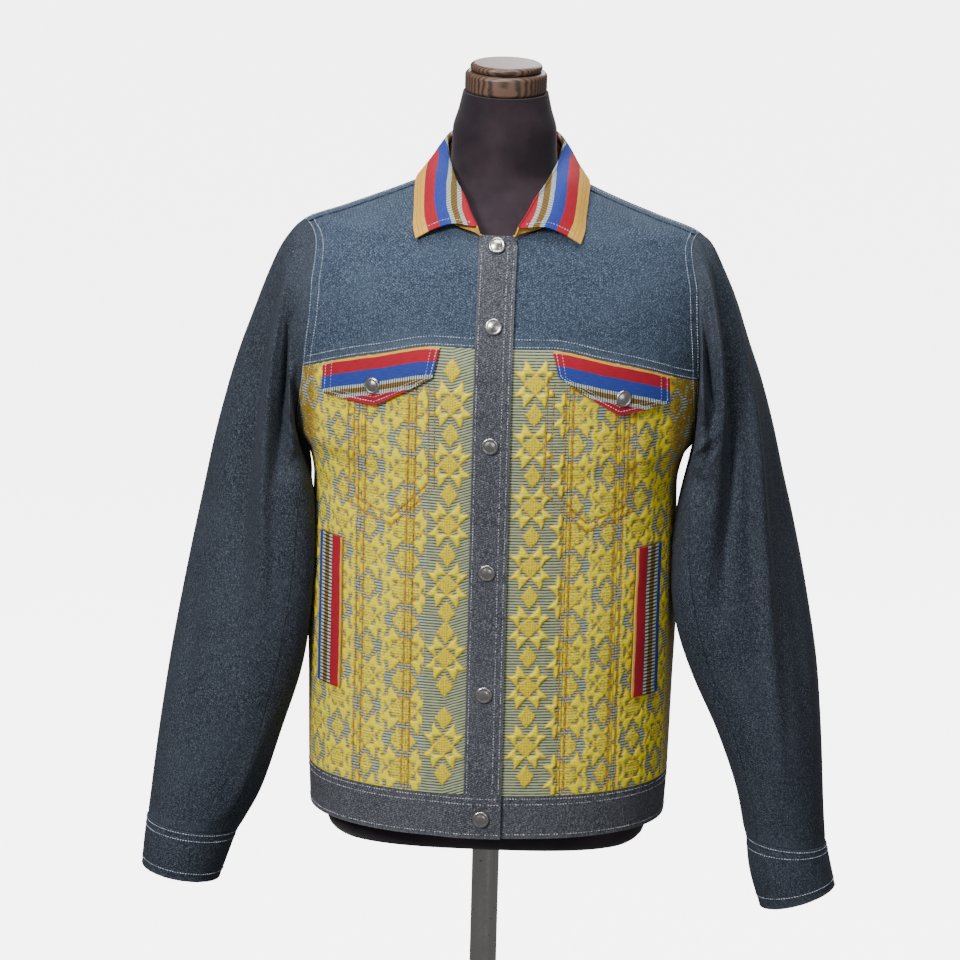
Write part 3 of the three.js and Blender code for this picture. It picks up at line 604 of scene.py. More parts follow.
def stitched(name: str, rows: Sequence[Row], thread: Thread) -> Piece:
    """One mesh of raised stitches, each a short spindle laid along its row.

    Args:
        name: the piece's name.
        rows: the lines to follow.
        thread: the stitches' sizes.

    Returns:
        The linked object.
    """
    half, shoulder = thread.length / 2, thread.length * SPINDLE_SHOULDER
    side, rise = thread.width / 2, thread.rise
    rings = [(place, out, across) for place in (-shoulder, shoulder)
             for out, across in ((rise, 0), (0, side), (-rise, 0), (0, -side))]
    template = np.array([(-half, 0, 0), *rings, (half, 0, 0)])
    faces = []
    for i in range(4):
        j = (i + 1) % 4
        faces += [(0, 1 + j, 1 + i), (1 + i, 1 + j, 5 + j, 5 + i), (9, 5 + i, 5 + j)]
    all_points = []
    for row in rows:
        far = travelled(row.points)
        count = int(far[-1] / thread.pitch)
        if count < 1:
            continue
        stops = (np.arange(count) + 0.5) * far[-1] / count

        def at(values: Array, places: Array) -> Array:
            """Values at distances along the row."""
            return np.stack([np.interp(places, far, values[:, i]) for i in range(3)], -1)

        centre = at(row.points, stops)
        way = unit(at(row.points, stops + ROW_PROBE) - at(row.points, stops - ROW_PROBE))
        outward = unit(at(row.outward, stops))
        across = unit(np.cross(way, outward))
        axes = np.stack([way, outward, across], 1)
        all_points.append(centre[:, None] + np.einsum("kj,njd->nkd", template, axes))
    points = np.concatenate(all_points)
    total = len(points)
    shifted = [tuple(i + 10 * n for i in face) for n in range(total) for face in faces]
    return finish_mesh(name, points.reshape(-1, 3), shifted)


def placed(piece: Piece, material: Material, slot: Slot, *nodes: str) -> None:
    """Dresses a piece, fixes it to the part and hides the nodes it stands for."""
    piece.data.materials.clear()
    piece.data.materials.append(material)
    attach(piece, "root")
    if nodes:
        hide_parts(*nodes)
    log.info("%s: %d faces, %s", piece.name, len(piece.data.polygons), material.name)


class Cut(NamedTuple):
    """How a sheet is cut and held: its own plain grid, what it hangs from or lies on, and how."""

    grid: Array
    rests_on: Sequence[str]
    held: str = "hung"


def declared(cut: Cut) -> None:
    """Measures the width and length of a sheet's cut, which are not kept."""
    def longest(lines: Array) -> float:
        """The length of the longest line of points."""
        return float(np.linalg.norm(np.diff(lines, axis=1), axis=-1).sum(axis=1).max())

    width, length = longest(cut.grid), longest(cut.grid.swapaxes(0, 1))


def sheet(name: str, wall: Wall, step: float, layers: dict[str, Array], material: Material,
          slot: Slot, cut: Cut) -> None:
    """Builds a sheet of cloth, dresses it and measures its cut.

    Args:
        name: the node that the sheet stands for.
        wall: its grids and the cloth's coordinates.
        step: how many outer cells one inner cell spans.
        layers: values for each outer point, by attribute name.
        material: its finish.
        slot: the slot for it; not used.
        cut: how it is cut and held.
    """
    piece = wall_object(name, wall, step, layers)
    placed(piece, material, slot, name)
    declared(cut)


FLOAT_OUT = "Fac"
YARN_IOR = 1.46


def linear(colour: str) -> tuple[float, float, float, float]:
    """An sRGB hex colour as linear red, green, blue and alpha."""
    parts = [int(colour[i:i + 2], 16) / 255 for i in (1, 3, 5)]
    light = [c / 12.92 if c <= 0.04045 else ((c + 0.055) / 1.055) ** 2.4 for c in parts]
    return (*light, 1.0)


def add(tree: Tree, kind: str, inputs: dict | None = None, **settings) -> Node:
    """Adds a shader node.

    Args:
        tree: the material's node tree.
        kind: the node's type, after the word ShaderNode.
        inputs: for each named or numbered input its value, a socket, or a node that feeds it.
        settings: the node's own properties.

    Returns:
        The node.
    """
    node = tree.nodes.new(f"ShaderNode{kind}")
    for key, value in settings.items():
        setattr(node, key, value)
    for key, value in (inputs or {}).items():
        if isinstance(value, Node):
            value = next(output for output in value.outputs if output.enabled)
        if isinstance(value, bpy.types.NodeSocket):
            tree.links.new(value, node.inputs[key])
        else:
            node.inputs[key].default_value = value
    return node


def shade(ramp: Node, stops: Sequence[tuple[float, str]], steps: bool = False) -> None:
    """Sets a colour ramp's places and hex colours."""
    band = ramp.color_ramp
    band.interpolation = "CONSTANT" if steps else "LINEAR"
    while len(band.elements) < len(stops):
        band.elements.new(1.0)
    for element, (place, colour) in zip(band.elements, stops):
        element.position = place
        element.color = linear(colour)


def per(size: float) -> float:
    """The scale at which a pattern's unit is size millimetres."""
    return 1 / (size * MM)


def wave_scale(pitch: float) -> float:
    """The scale at which a Wave Texture's bands are pitch millimetres apart."""
    return math.pi / 10 / (pitch * MM)


class Finish:
    """A finish, named for its real material, whose nodes become a material."""

    name: str

    def surface(self, tree: Tree) -> Node:
        """Builds the finish's nodes and returns its shader."""
        raise NotImplementedError

    def make(self) -> Material:
        """The finish as a new material."""
        material = bpy.data.materials.new(self.name)
        material.use_nodes = True
        tree = material.node_tree
        tree.nodes.clear()
        shader = self.surface(tree)
        add(tree, "OutputMaterial", {"Surface": shader})
        return material


@dataclass(frozen=True)
class Twill(Finish):
    """Cotton twill, yarn dyed and garment washed: a dyed warp over a pale weft.

    The washed yarns give a heathered speckle, faint twill lines lean across the cloth, slubs run
    up it, and the washing has made it uneven. Real lines are 0.9 mm apart and are drawn twice as
    coarse, so that they show.
    """

    name: str
    deep: str
    middle: str
    pale: str
    worn: str
    line_pitch: float = 1.9
    line_lean: float = 63.0
    line_share: float = 0.07
    slub_length: float = 9.0
    slub_width: float = 0.9
    slub_share: float = 0.2
    heather: float = 1.25
    heather_share: float = 0.74
    cloud: float = 55.0

    def surface(self, tree: Tree) -> Node:
        """Builds the yarns' tone, lays the washed and rubbed colour over it, and shades it."""
        place = add(tree, "UVMap", uv_map="cloth")
        solid = add(tree, "TexCoord").outputs["Object"]
        lean = add(tree, "Mapping", {"Vector": place, "Rotation": (0, 0, math.radians(self.line_lean))})
        lines = add(tree, "TexWave", {
            "Vector": lean, "Scale": wave_scale(self.line_pitch), "Distortion": 1.6, "Detail": 1.0,
            "Detail Scale": 2.0})
        slub_scale = (per(self.slub_width), per(self.slub_length), 1)
        stretch = add(tree, "Mapping", {"Vector": place, "Scale": slub_scale})
        slubs = add(tree, "TexNoise", {"Vector": stretch, "Scale": 1.0, "Detail": 2.0})
        flecks = add(tree, "TexNoise", {"Vector": solid, "Scale": per(self.heather), "Detail": 2.0})
        clouds = add(tree, "TexNoise", {
            "Vector": solid, "Scale": per(self.cloud), "Detail": 3.0, "Roughness": 0.6})
        faint = add(tree, "Math", {0: lines.outputs[FLOAT_OUT], 1: self.line_share}, operation="MULTIPLY")
        yarns = add(tree, "Math", {0: slubs, 1: self.slub_share, 2: faint}, operation="MULTIPLY_ADD")
        fine = add(tree, "Math", {0: flecks, 1: self.heather_share, 2: yarns}, operation="MULTIPLY_ADD")
        ramp = add(tree, "ValToRGB", {0: fine})
        shade(ramp, [(0.34, self.deep), (0.51, self.middle), (0.69, self.pale)])
        wear_and_fold_highlight = add(tree, "Attribute", attribute_name="wear_and_fold_highlight")
        cloudy = add(tree, "Math", {0: clouds, 1: 0.8, 2: -0.3}, operation="MULTIPLY_ADD")
        rubbed = add(tree, "Math", {0: wear_and_fold_highlight.outputs[FLOAT_OUT], 1: 0.75, 2: cloudy},
                     operation="MULTIPLY_ADD", use_clamp=True)
        # The attribute mixes in the worn colour: real wear at seams, edges and ends, and on the sleeves also
        # a painted highlight on the fold crests.
        colour = add(tree, "Mix", {0: rubbed, 6: ramp, 7: linear(self.worn)}, data_type="RGBA")
        bump = add(tree, "Bump", {"Height": fine, "Strength": 0.35, "Distance": 0.4 * MM})
        return add(tree, "BsdfPrincipled", {
            "Base Color": colour, "Roughness": 0.88, "Normal": bump, "Sheen Weight": 0.02,
            "Sheen Roughness": 0.5, "IOR": YARN_IOR, "Specular IOR Level": 0.12})


@dataclass(frozen=True)
class JacquardCloth(Finish):
    """Cloque jacquard: raised yellow cotton floats over a ribbed ground of sage, teal and grey.

    The floats are puffed and slightly glossy, and their yellow is painted darker, to ochre, where
    they turn down: painted shade at the relief's edges. Dark and pale picks of the ground cross them
    in the ribs' rows.
    """

    name: str = "woven_cloque_jacquard"
    rib_pitch: float = 2.7
    float_pitch: float = 2.4
    dash_length: float = 5.5
    dash_width: float = 1.3
    yarn_length: float = 3.4
    yarn_width: float = 1.1
    pick_length: float = 2.6
    pick_width: float = 1.0

    def surface(self, tree: Tree) -> Node:
        """Builds the nodes from the puff, cover, dense and cool attributes of the woven pattern."""
        place = add(tree, "UVMap", uv_map="cloth").outputs[0]
        cover, puff, dense, cool = (
            add(tree, "Attribute", attribute_name=name).outputs[FLOAT_OUT]
            for name in ("cover", "puff", "dense", "cool"))

        def noise(across: float, along: float, detail: float) -> Node:
            """Noise whose grains have a size across and along the cloth in millimetres."""
            grain = add(tree, "Mapping", {"Vector": place, "Scale": (per(across), per(along), 1)})
            return add(tree, "TexNoise", {"Vector": grain, "Scale": 1.0, "Detail": detail})

        ribs = add(tree, "TexWave", {
            "Vector": place, "Scale": wave_scale(self.rib_pitch), "Distortion": 0.6, "Detail": 1.0},
            bands_direction="Y").outputs[FLOAT_OUT]
        dashes = noise(self.dash_length, self.dash_width, 1.0)
        sage, slate = (add(tree, "ValToRGB", {0: ribs}) for _ in range(2))
        shade(sage, [(0.0, "#37473c"), (0.34, "#4e6150"), (0.56, "#868f66"), (0.9, "#b3b886")])
        shade(slate, [(0.0, "#31494a"), (0.34, "#47665f"), (0.56, "#84998a"), (0.9, "#b9c0a6")])
        ground = add(tree, "Mix", {0: cool, 6: sage, 7: slate}, data_type="RGBA")
        lilac = add(tree, "MapRange", {0: dashes, 1: 0.45, 2: 0.68, 3: 0.0, 4: 0.5})
        ground_mixed = add(tree, "Mix", {0: lilac, 6: ground, 7: linear("#8d8688")}, data_type="RGBA")
        floats_map = add(tree, "Mapping", {"Vector": place, "Rotation": (0, 0, math.radians(45))})
        floats = add(tree, "TexChecker", {"Vector": floats_map, "Scale": per(self.float_pitch)})
        yarns = noise(self.yarn_width, self.yarn_length, 2.0)
        # The yellow follows the puff: lower puff, at the floats' edges and where stitches press them down, is
        # painted darker ochre as shade.
        tone = add(tree, "Math", {0: yarns, 1: 0.5, 2: puff}, operation="MULTIPLY_ADD")
        yellow = add(tree, "ValToRGB", {0: tone})
        shade(yellow, [(0.2, "#7a5c04"), (0.42, "#b39202"), (0.72, "#d9c002"), (1.0, "#e8d80c")])
        picks = noise(self.pick_length, self.pick_width, 0.0)
        dark_pick = add(tree, "MapRange", {0: picks, 1: 0.56, 2: 0.48, 3: 0.0, 4: 1.0})
        valley = add(tree, "MapRange", {0: ribs, 1: 0.5, 2: 0.25, 3: 0.0, 4: 0.85})
        row_pick = add(tree, "Math", {0: dark_pick, 1: valley}, operation="MULTIPLY")
        pale_pick = add(tree, "MapRange", {0: picks, 1: 0.56, 2: 0.66, 3: 0.0, 4: 0.4})
        dark_share = add(tree, "Math", {0: row_pick, 1: dense}, operation="MULTIPLY")
        pale_share = add(tree, "Math", {0: pale_pick, 1: dense}, operation="MULTIPLY")
        yellow_pale = add(tree, "Mix", {0: pale_share, 6: yellow, 7: linear("#d0c48a")}, data_type="RGBA")
        yellow_mixed = add(tree, "Mix", {0: dark_share, 6: yellow_pale, 7: linear("#5a6243")},
                           data_type="RGBA")
        colour = add(tree, "Mix", {0: cover, 6: ground_mixed, 7: yellow_mixed}, data_type="RGBA")
        weave = add(tree, "Mix", {0: cover, 2: ribs, 3: yarns.outputs[FLOAT_OUT]})
        checks = add(tree, "Math", {0: floats.outputs[FLOAT_OUT], 1: 0.2, 2: weave},
                     operation="MULTIPLY_ADD")
        bump = add(tree, "Bump", {"Height": checks, "Strength": 0.5, "Distance": 0.5 * MM})
        return add(tree, "BsdfPrincipled", {
            "Base Color": colour, "Roughness": 0.72, "Normal": bump, "Sheen Weight": 0.04,
            "Sheen Roughness": 0.45, "IOR": YARN_IOR, "Specular IOR Level": 0.25})


class Band(NamedTuple):
    """A stripe: how far from the cloth's first edge it ends, and its colour."""

    end: float
    colour: str


@dataclass(frozen=True)
class StripedCotton(Finish):
    """Hand-loomed striped cotton: flat dyed bands, and one band of fine ticks with a tan core.

    Its yarns are 0.4 mm thick and are drawn about twice as coarse, as streaks along the bands.
    """

    name: str
    bands: tuple[Band, ...]
    tick_from: float
    tick_to: float
    along_u: bool = False
    tick_pitch: float = 2.1
    span: float = 80.0
    core_share: float = 0.42
    wobbles_per_metre: float = 60.0
    yarns_per_metre: tuple[float, float, float] = (150, 1300, 1)

    def surface(self, tree: Tree) -> Node:
        """Builds the bands and ticks over the cloth's two coordinates, and the yarns' streaks."""
        place = add(tree, "UVMap", uv_map="cloth")
        parts = add(tree, "SeparateXYZ", {0: place})
        first, second = (0, 1) if self.along_u else (1, 0)
        over, lengthwise = parts.outputs[first], parts.outputs[second]
        wobble = add(tree, "TexNoise", {"Vector": place, "Scale": self.wobbles_per_metre, "Detail": 1.0})
        shift = add(tree, "Math", {0: wobble, 1: 1.2 * MM, 2: over}, operation="MULTIPLY_ADD")
        share = add(tree, "Math", {0: shift, 1: per(self.span)}, operation="MULTIPLY")
        ramp = add(tree, "ValToRGB", {0: share})
        starts = [0.0] + [band.end / self.span for band in self.bands[:-1]]
        shade(ramp, [(start, band.colour) for start, band in zip(starts, self.bands)], steps=True)
        turned = add(tree, "CombineXYZ", {0: lengthwise, 1: over})
        ticks = add(tree, "TexWave", {
            "Vector": turned, "Scale": wave_scale(self.tick_pitch), "Distortion": 0.5,
            "Detail": 1.0}).outputs[FLOAT_OUT]
        tick_colour = add(tree, "ValToRGB", {0: ticks})
        shade(tick_colour, [(0.28, "#39423f"), (0.46, "#93a8a2"), (0.72, "#c3d0c6")])
        middle = (self.tick_from + self.tick_to) / 2 * MM
        half_band = (self.tick_to - self.tick_from) / 2 * MM
        apart = add(tree, "Math", {0: shift, 1: middle}, operation="SUBTRACT")
        distance = add(tree, "Math", {0: apart}, operation="ABSOLUTE")
        in_band = add(tree, "Math", {0: distance, 1: half_band}, operation="LESS_THAN")
        in_core = add(tree, "Math", {0: distance, 1: half_band * self.core_share}, operation="LESS_THAN")
        core_colour = add(tree, "ValToRGB", {0: ticks})
        shade(core_colour, [(0.34, "#2c251a"), (0.55, "#665124"), (0.8, "#957030")])
        band_ticks = add(tree, "Mix", {0: in_core, 6: tick_colour, 7: core_colour}, data_type="RGBA")
        striped = add(tree, "Mix", {0: in_band, 6: ramp, 7: band_ticks}, data_type="RGBA")
        yarn_map = add(tree, "Mapping", {"Vector": turned, "Scale": self.yarns_per_metre})
        yarns = add(tree, "TexNoise", {"Vector": yarn_map, "Scale": 1.0, "Detail": 2.0})
        streak = add(tree, "ValToRGB", {0: yarns})
        shade(streak, [(0.3, "#b8b8b8"), (0.7, "#ffffff")])
        colour = add(tree, "Mix", {0: 0.55, 6: striped, 7: streak}, data_type="RGBA", blend_type="MULTIPLY")
        bump = add(tree, "Bump", {"Height": yarns, "Strength": 0.3, "Distance": 0.3 * MM})
        return add(tree, "BsdfPrincipled", {
            "Base Color": colour, "Roughness": 0.8, "Normal": bump, "Sheen Weight": 0.03,
            "IOR": YARN_IOR, "Specular IOR Level": 0.25})


@dataclass(frozen=True)
class SewingThread(Finish):
    """Twisted polyester thread, dyed and slightly glossy, uneven in tone from stitch to stitch."""

    name: str
    light: str
    dark: str
    patch: float = 4.0

    def surface(self, tree: Tree) -> Node:
        """Builds the thread's patches of tone."""
        solid = add(tree, "TexCoord").outputs["Object"]
        patches = add(tree, "TexNoise", {"Vector": solid, "Scale": per(self.patch), "Detail": 1.0})
        ramp = add(tree, "ValToRGB", {0: patches})
        shade(ramp, [(0.38, self.dark), (0.6, self.light)])
        return add(tree, "BsdfPrincipled", {"Base Color": ramp, "Roughness": 0.55, "IOR": 1.5})


@dataclass(frozen=True)
class Metal(Finish):
    """A bare or plated metal whose gloss varies a little, with stained or rusted specks."""

    name: str
    colour: str
    stain: str
    roughness: float
    speck: float = 6.0
    stain_from: float = 0.7
    stain_edge: float = 0.06

    def surface(self, tree: Tree) -> Node:
        """Builds the specks and the uneven gloss."""
        solid = add(tree, "TexCoord").outputs["Object"]
        patches = add(tree, "TexNoise", {
            "Vector": solid, "Scale": per(self.speck), "Detail": 4.0, "Roughness": 0.65})
        ramp = add(tree, "ValToRGB", {0: patches})
        shade(ramp, [(self.stain_from, self.colour), (self.stain_from + self.stain_edge, self.stain)])
        gloss = add(tree, "MapRange", {
            0: patches, 1: 0.3, 2: 0.75, 3: self.roughness * 0.8, 4: self.roughness * 1.5})
        return add(tree, "BsdfPrincipled", {"Base Color": ramp, "Metallic": 1.0, "Roughness": gloss})


@dataclass(frozen=True)
class Jersey(Finish):
    """Spun cotton jersey, dyed aubergine black and stretched over the form: matt, faintly lit.

    Its wales are 0.8 mm apart and are drawn about twice as coarse, so that they show.
    """

    name: str = "dyed_cotton_jersey"
    dark: str = "#211a20"
    light: str = "#362b31"
    rib: float = 1.5
    clouds_per_metre: float = 22.0

    def surface(self, tree: Tree) -> Node:
        """Builds the knit's ribs and the dye's clouds."""
        solid = add(tree, "TexCoord").outputs["Object"]
        ribs = add(tree, "TexWave", {
            "Vector": solid, "Scale": wave_scale(self.rib), "Distortion": 1.0}, bands_direction="X")
        clouds = add(tree, "TexNoise", {"Vector": solid, "Scale": self.clouds_per_metre, "Detail": 3.0})
        ramp = add(tree, "ValToRGB", {0: clouds})
        shade(ramp, [(0.35, self.dark), (0.7, self.light)])
        bump = add(tree, "Bump", {
            "Height": ribs.outputs[FLOAT_OUT], "Strength": 0.2, "Distance": 0.2 * MM})
        return add(tree, "BsdfPrincipled", {
            "Base Color": ramp, "Roughness": 0.9, "Normal": bump, "Sheen Weight": 0.12,
            "Sheen Roughness": 0.4, "IOR": YARN_IOR, "Specular IOR Level": 0.2})


@dataclass(frozen=True)
class TurnedWood(Finish):
    """Beech, turned, stained brown and waxed: growth lines about 3 mm apart, with a low shine."""

    name: str = "turned_stained_beech"
    dark: str = "#32231b"
    light: str = "#604839"
    grain: float = 3.2

    def surface(self, tree: Tree) -> Node:
        """Builds the growth lines, drawn out across the neck."""
        solid = add(tree, "TexCoord").outputs["Object"]
        stretch = add(tree, "Mapping", {"Vector": solid, "Scale": (0.35, 1.0, 1.0)})
        rings = add(tree, "TexWave", {
            "Vector": stretch, "Scale": wave_scale(self.grain), "Distortion": 4.0, "Detail": 3.0},
            bands_direction="Y").outputs[FLOAT_OUT]
        ramp = add(tree, "ValToRGB", {0: rings})
        shade(ramp, [(0.1, self.dark), (0.8, self.light)])
        bump = add(tree, "Bump", {"Height": rings, "Strength": 0.12, "Distance": 0.2 * MM})
        return add(tree, "BsdfPrincipled", {
            "Base Color": ramp, "Roughness": 0.42, "Normal": bump, "IOR": 1.5})


@dataclass(frozen=True)
class Paint(Finish):
    """Powder-coated steel: an even colour, faint dust and a fine orange-peel surface."""

    name: str = "powder_coated_steel"
    colour: str = "#38383b"
    dust: str = "#4a4a4d"
    peel: float = 1.2
    clouds_per_metre: float = 14.0

    def surface(self, tree: Tree) -> Node:
        """Builds the orange peel and faint clouds of dust."""
        solid = add(tree, "TexCoord").outputs["Object"]
        peel = add(tree, "TexNoise", {"Vector": solid, "Scale": per(self.peel), "Detail": 1.0})
        clouds = add(tree, "TexNoise", {"Vector": solid, "Scale": self.clouds_per_metre, "Detail": 3.0})
        ramp = add(tree, "ValToRGB", {0: clouds})
        shade(ramp, [(0.4, self.colour), (0.75, self.dust)])
        bump = add(tree, "Bump", {"Height": peel, "Strength": 0.25, "Distance": 0.2 * MM})
        return add(tree, "BsdfPrincipled", {
            "Base Color": ramp, "Roughness": 0.5, "Normal": bump, "IOR": 1.5})


@dataclass(frozen=True)
class StudioFloor(Finish):
    """Matt white studio floor of translucent acrylic, lit from below: an even, almost white ground."""

    name: str = "backlit_matt_acrylic"
    colour: str = "#f4f4f3"
    glow: float = 5.5

    def surface(self, tree: Tree) -> Node:
        """Builds the glowing acrylic."""
        return add(tree, "BsdfPrincipled", {
            "Base Color": linear(self.colour), "Roughness": 0.9,
            "Emission Color": linear(self.colour), "Emission Strength": self.glow})


RED, BLUE, GOLD, OCHRE, PALE = "#a11729", "#2a3b8c", "#d7a544", "#b98328", "#a9b5aa"


class Finishes:
    """The materials, each made once."""

    def __init__(self) -> None:
        """Makes every material."""
        self.denim = Twill("washed_denim_twill", "#1c242e", "#303b4a", "#647082", "#485564").make()
        # The sleeves and cuffs get a darker copy of the same denim: painted shade for sleeves that hang
        # turned away from the light above.
        self.shaded_sleeve_denim = Twill(
            "sleeve_denim_twill_painted_shade", "#15181e", "#292e37", "#4f565f", "#3c434c").make()
        self.charcoal = Twill(
            "washed_charcoal_chambray", "#25262b", "#404248", "#777980", "#585a60").make()
        self.jacquard = JacquardCloth().make()
        self.collar = StripedCotton(
            "striped_collar_cotton",
            (Band(4.8, GOLD), Band(5.5, OCHRE), Band(9.3, GOLD), Band(10.0, OCHRE), Band(15, GOLD),
             Band(27, RED), Band(38.8, BLUE), Band(54, PALE), Band(64, RED), Band(80, GOLD)),
            38.8, 54, tick_pitch=2.2).make()
        self.flap = StripedCotton(
            "striped_flap_cotton",
            (Band(3.2, GOLD), Band(14, RED), Band(26, BLUE), Band(37, PALE), Band(80, RED)), 26, 37).make()
        self.welt = StripedCotton(
            "striped_welt_cotton",
            (Band(1.8, GOLD), Band(9.4, RED), Band(18.6, PALE), Band(80, BLUE)), 9.4, 18.6, along_u=True,
            tick_pitch=3.3).make()
        self.pale_thread = SewingThread("pale_polyester_thread", "#c3c8d6", "#7f889c").make()
        self.grey_thread = SewingThread("grey_polyester_thread", "#cfd0d2", "#4a4c52", 2.5).make()
        self.tan_thread = SewingThread("orange_polyester_thread", "#c98a2c", "#6b3f1d", 3.0).make()
        self.nickel = Metal("pressed_nickel_plate", "#b3b0ac", "#8a857f", 0.24, 3.0).make()
        self.chrome = Metal("drawn_chromed_tube", "#b4b0aa", "#6b4a34", 0.2, 5.0, 0.64).make()
        self.jersey = Jersey().make()
        self.wood = TurnedWood().make()
        self.paint = Paint().make()


@dataclass(frozen=True)
class Motif:
    """The woven motifs: a star of eight petals and a ringed diamond, each mirrored both ways."""

    upright_petal: tuple[Point2, ...] = ((0.7, 9.6), (11.6, 8.4), (9.6, 21.0))
    side_petal: tuple[Point2, ...] = ((9.3, 0.8), (18.4, 10.4), (9.3, 11.0))
    spread: float = 0.7
    heart: float = 10.6
    diamond_half_width: float = 8.6
    diamond_half_height: float = 11.8
    nub_pitch: float = 4.2

    @staticmethod
    def inside(x: Array, y: Array, corners: Sequence[Point2]) -> Array:
        """How far inside a convex outline, given anticlockwise, points lie."""
        depth = np.full(x.shape, np.inf)
        for (ax, ay), (bx, by) in zip(corners, (*corners[1:], corners[0])):
            edge = math.hypot(bx - ax, by - ay)
            depth = np.minimum(depth, ((bx - ax) * (y - ay) - (by - ay) * (x - ax)) / edge)
        return depth

    def nubs(self, x: Array, y: Array) -> Array:
        """The depth of the basket weave that fills a heart or a diamond."""
        turn = 2 * np.pi / self.nub_pitch
        return 0.75 + 0.7 * np.cos(turn * (x + y)) * np.cos(turn * (x - y))

    def star(self, x: Array, y: Array) -> Array:
        """How far inside the star points are, from its centre."""
        x, y = np.abs(x), np.abs(y)
        petals = np.maximum(self.inside(x, y, self.upright_petal), self.inside(x, y, self.side_petal))
        petals = petals + self.spread
        middle = (self.heart - x - y) / math.sqrt(2)
        return np.maximum(petals, np.where(middle > 0, np.minimum(middle, self.nubs(x, y)), middle))

    def diamond(self, x: Array, y: Array) -> Array:
        """How far inside the diamond points are, from its centre."""
        width, height = self.diamond_half_width, self.diamond_half_height
        share = 1 - np.abs(x) / width - np.abs(y) / height
        depth = share / math.hypot(1 / width, 1 / height)
        return np.where(depth > 0, np.minimum(depth, self.nubs(x, y)), depth)


class Woven(NamedTuple):
    """The pattern at each point.

    It holds the rise and puff, how much yellow covers the ground, how finely picks break the
    yellow, and how blue the ground is.
    """

    rise: Array
    puff: Array
    cover: Array
    dense: Array
    cool: Array

    def layers(self) -> dict[str, Array]:
        """The values that the material reads, by attribute name."""
        return {"puff": self.puff, "cover": self.cover, "dense": self.dense, "cool": self.cool}


@dataclass(frozen=True)
class JacquardPattern:
    """Columns of stars and diamonds: bold ones beside the closure, flatter ones beyond them."""

    bold_column: float = 36.0
    left_column: float = 39.5
    column_pitch: float = 34.2
    repeat: float = 57.0
    rib: float = 2.7
    slip: float = 0.55
    bold_rise: float = 2.1
    dense_rise: float = 1.0
    right_reach: float = 56.0
    left_reach: float = 70.8
    second_column: float = 74.5
    seam_from: float = 72.0
    seam_step: float = 8.6
    frame: float = 14.6
    frame_step: float = 1.3
    frame_wave: float = 19.0
    first_star: float = 88.5
    left_repeats: int = 7
    right_stars: tuple[float, ...] = (409.5, 353, 296.5, 240, 170.4, 86.6)
    right_diamonds: tuple[float, ...] = (440, 381, 325, 268, 213.7, 195, 144, 113, 60)
    puff_edge: float = 1.1
    cover_edge: float = 0.9
    motif: Motif = Motif()

    def bold(self, side: Side, u: Array, v: Array) -> Array:
        """How far inside a bold motif points are."""
        if side is Side.RIGHT:
            x = u - self.bold_column
            stars, diamonds = self.right_stars, self.right_diamonds
        else:
            x = u - self.left_column
            stars = tuple(self.first_star + self.repeat * k for k in range(self.left_repeats))
            diamonds = tuple(star - self.repeat / 2 for star in stars)
        depth = np.full(u.shape, -9.0)
        if side is Side.LEFT:
            for height in diamonds:
                depth = np.maximum(depth, self.motif.star(u - self.second_column, v - height))
        for height in stars:
            depth = np.maximum(depth, self.motif.star(x, v - height))
        for height in diamonds:
            depth = np.maximum(depth, self.motif.diamond(x, v - height))
        return depth

    def flat(self, u: Array, v: Array) -> tuple[Array, Array, Array]:
        """The flatter columns: how far inside the yellow and a motif points are, and the picks.

        A column's stars stand beside its neighbour's diamonds. The seam takes up some cloth, so
        the columns beyond it stand further out.
        """
        row = np.floor(v / self.rib)
        u = u + self.slip * (np.sin(2.4 * row) + np.sin(5.1 * row + u / 9))
        v = mix(v, self.rib * (row + 0.5), 0.6)
        u = u - self.seam_step * smooth((u - self.seam_from) / 3)
        half = self.column_pitch / 2
        column = np.floor((u - self.bold_column + half) / self.column_pitch)
        x = np.abs((u - self.bold_column + half) % self.column_pitch - half)
        v = v + self.repeat / 2 * ((column + 1) % 2)
        to_diamond = np.abs((v - self.first_star + self.repeat / 2) % self.repeat - self.repeat / 2)
        to_star = self.repeat / 2 - to_diamond
        star, diamond = self.motif.star(x, to_star), self.motif.diamond(x, to_diamond)
        motif = np.maximum(star, diamond)
        wave = np.cos(2 * np.pi * to_diamond / self.frame_wave)
        between = x - self.frame - self.frame_step * wave
        basket = np.maximum(self.motif.heart - x - to_star, diamond)
        picks = np.where(basket > 0, 0.95, np.where(star > 0, 0.3, 0.85))
        return np.maximum(motif + 0.8, between), np.maximum(motif + 0.3, between), picks

    def weave(self, side: Side, u: Array, v: Array, flattened: Array) -> Woven:
        """The pattern at distances from the centre line and heights.

        Args:
            side: the wearer's side.
            u: distances round the body from the centre line.
            v: heights.
            flattened: 1 where nothing presses the cloth, to 0 where stitches or a layer do.

        Returns:
            The woven pattern.
        """
        in_bold = u < (self.right_reach if side is Side.RIGHT else self.left_reach)
        bold = self.bold(side, u + 0.3 * np.sin(v / 1.3), v + 0.35 * np.sin(u / 1.1))
        yellow, inside, picks = self.flat(u, v)
        height = np.where(in_bold, self.bold_rise, self.dense_rise)
        depth = np.maximum(np.where(in_bold, bold, inside), 0)
        puff = (1 - np.exp(-depth / self.puff_edge)) * flattened
        cover = smooth(np.where(in_bold, bold, yellow) / self.cover_edge + 0.5)
        return Woven(height * puff, puff, cover, np.where(in_bold, 0.5, picks), np.where(in_bold, 0.0, 1.0))


PATTERN = JacquardPattern()


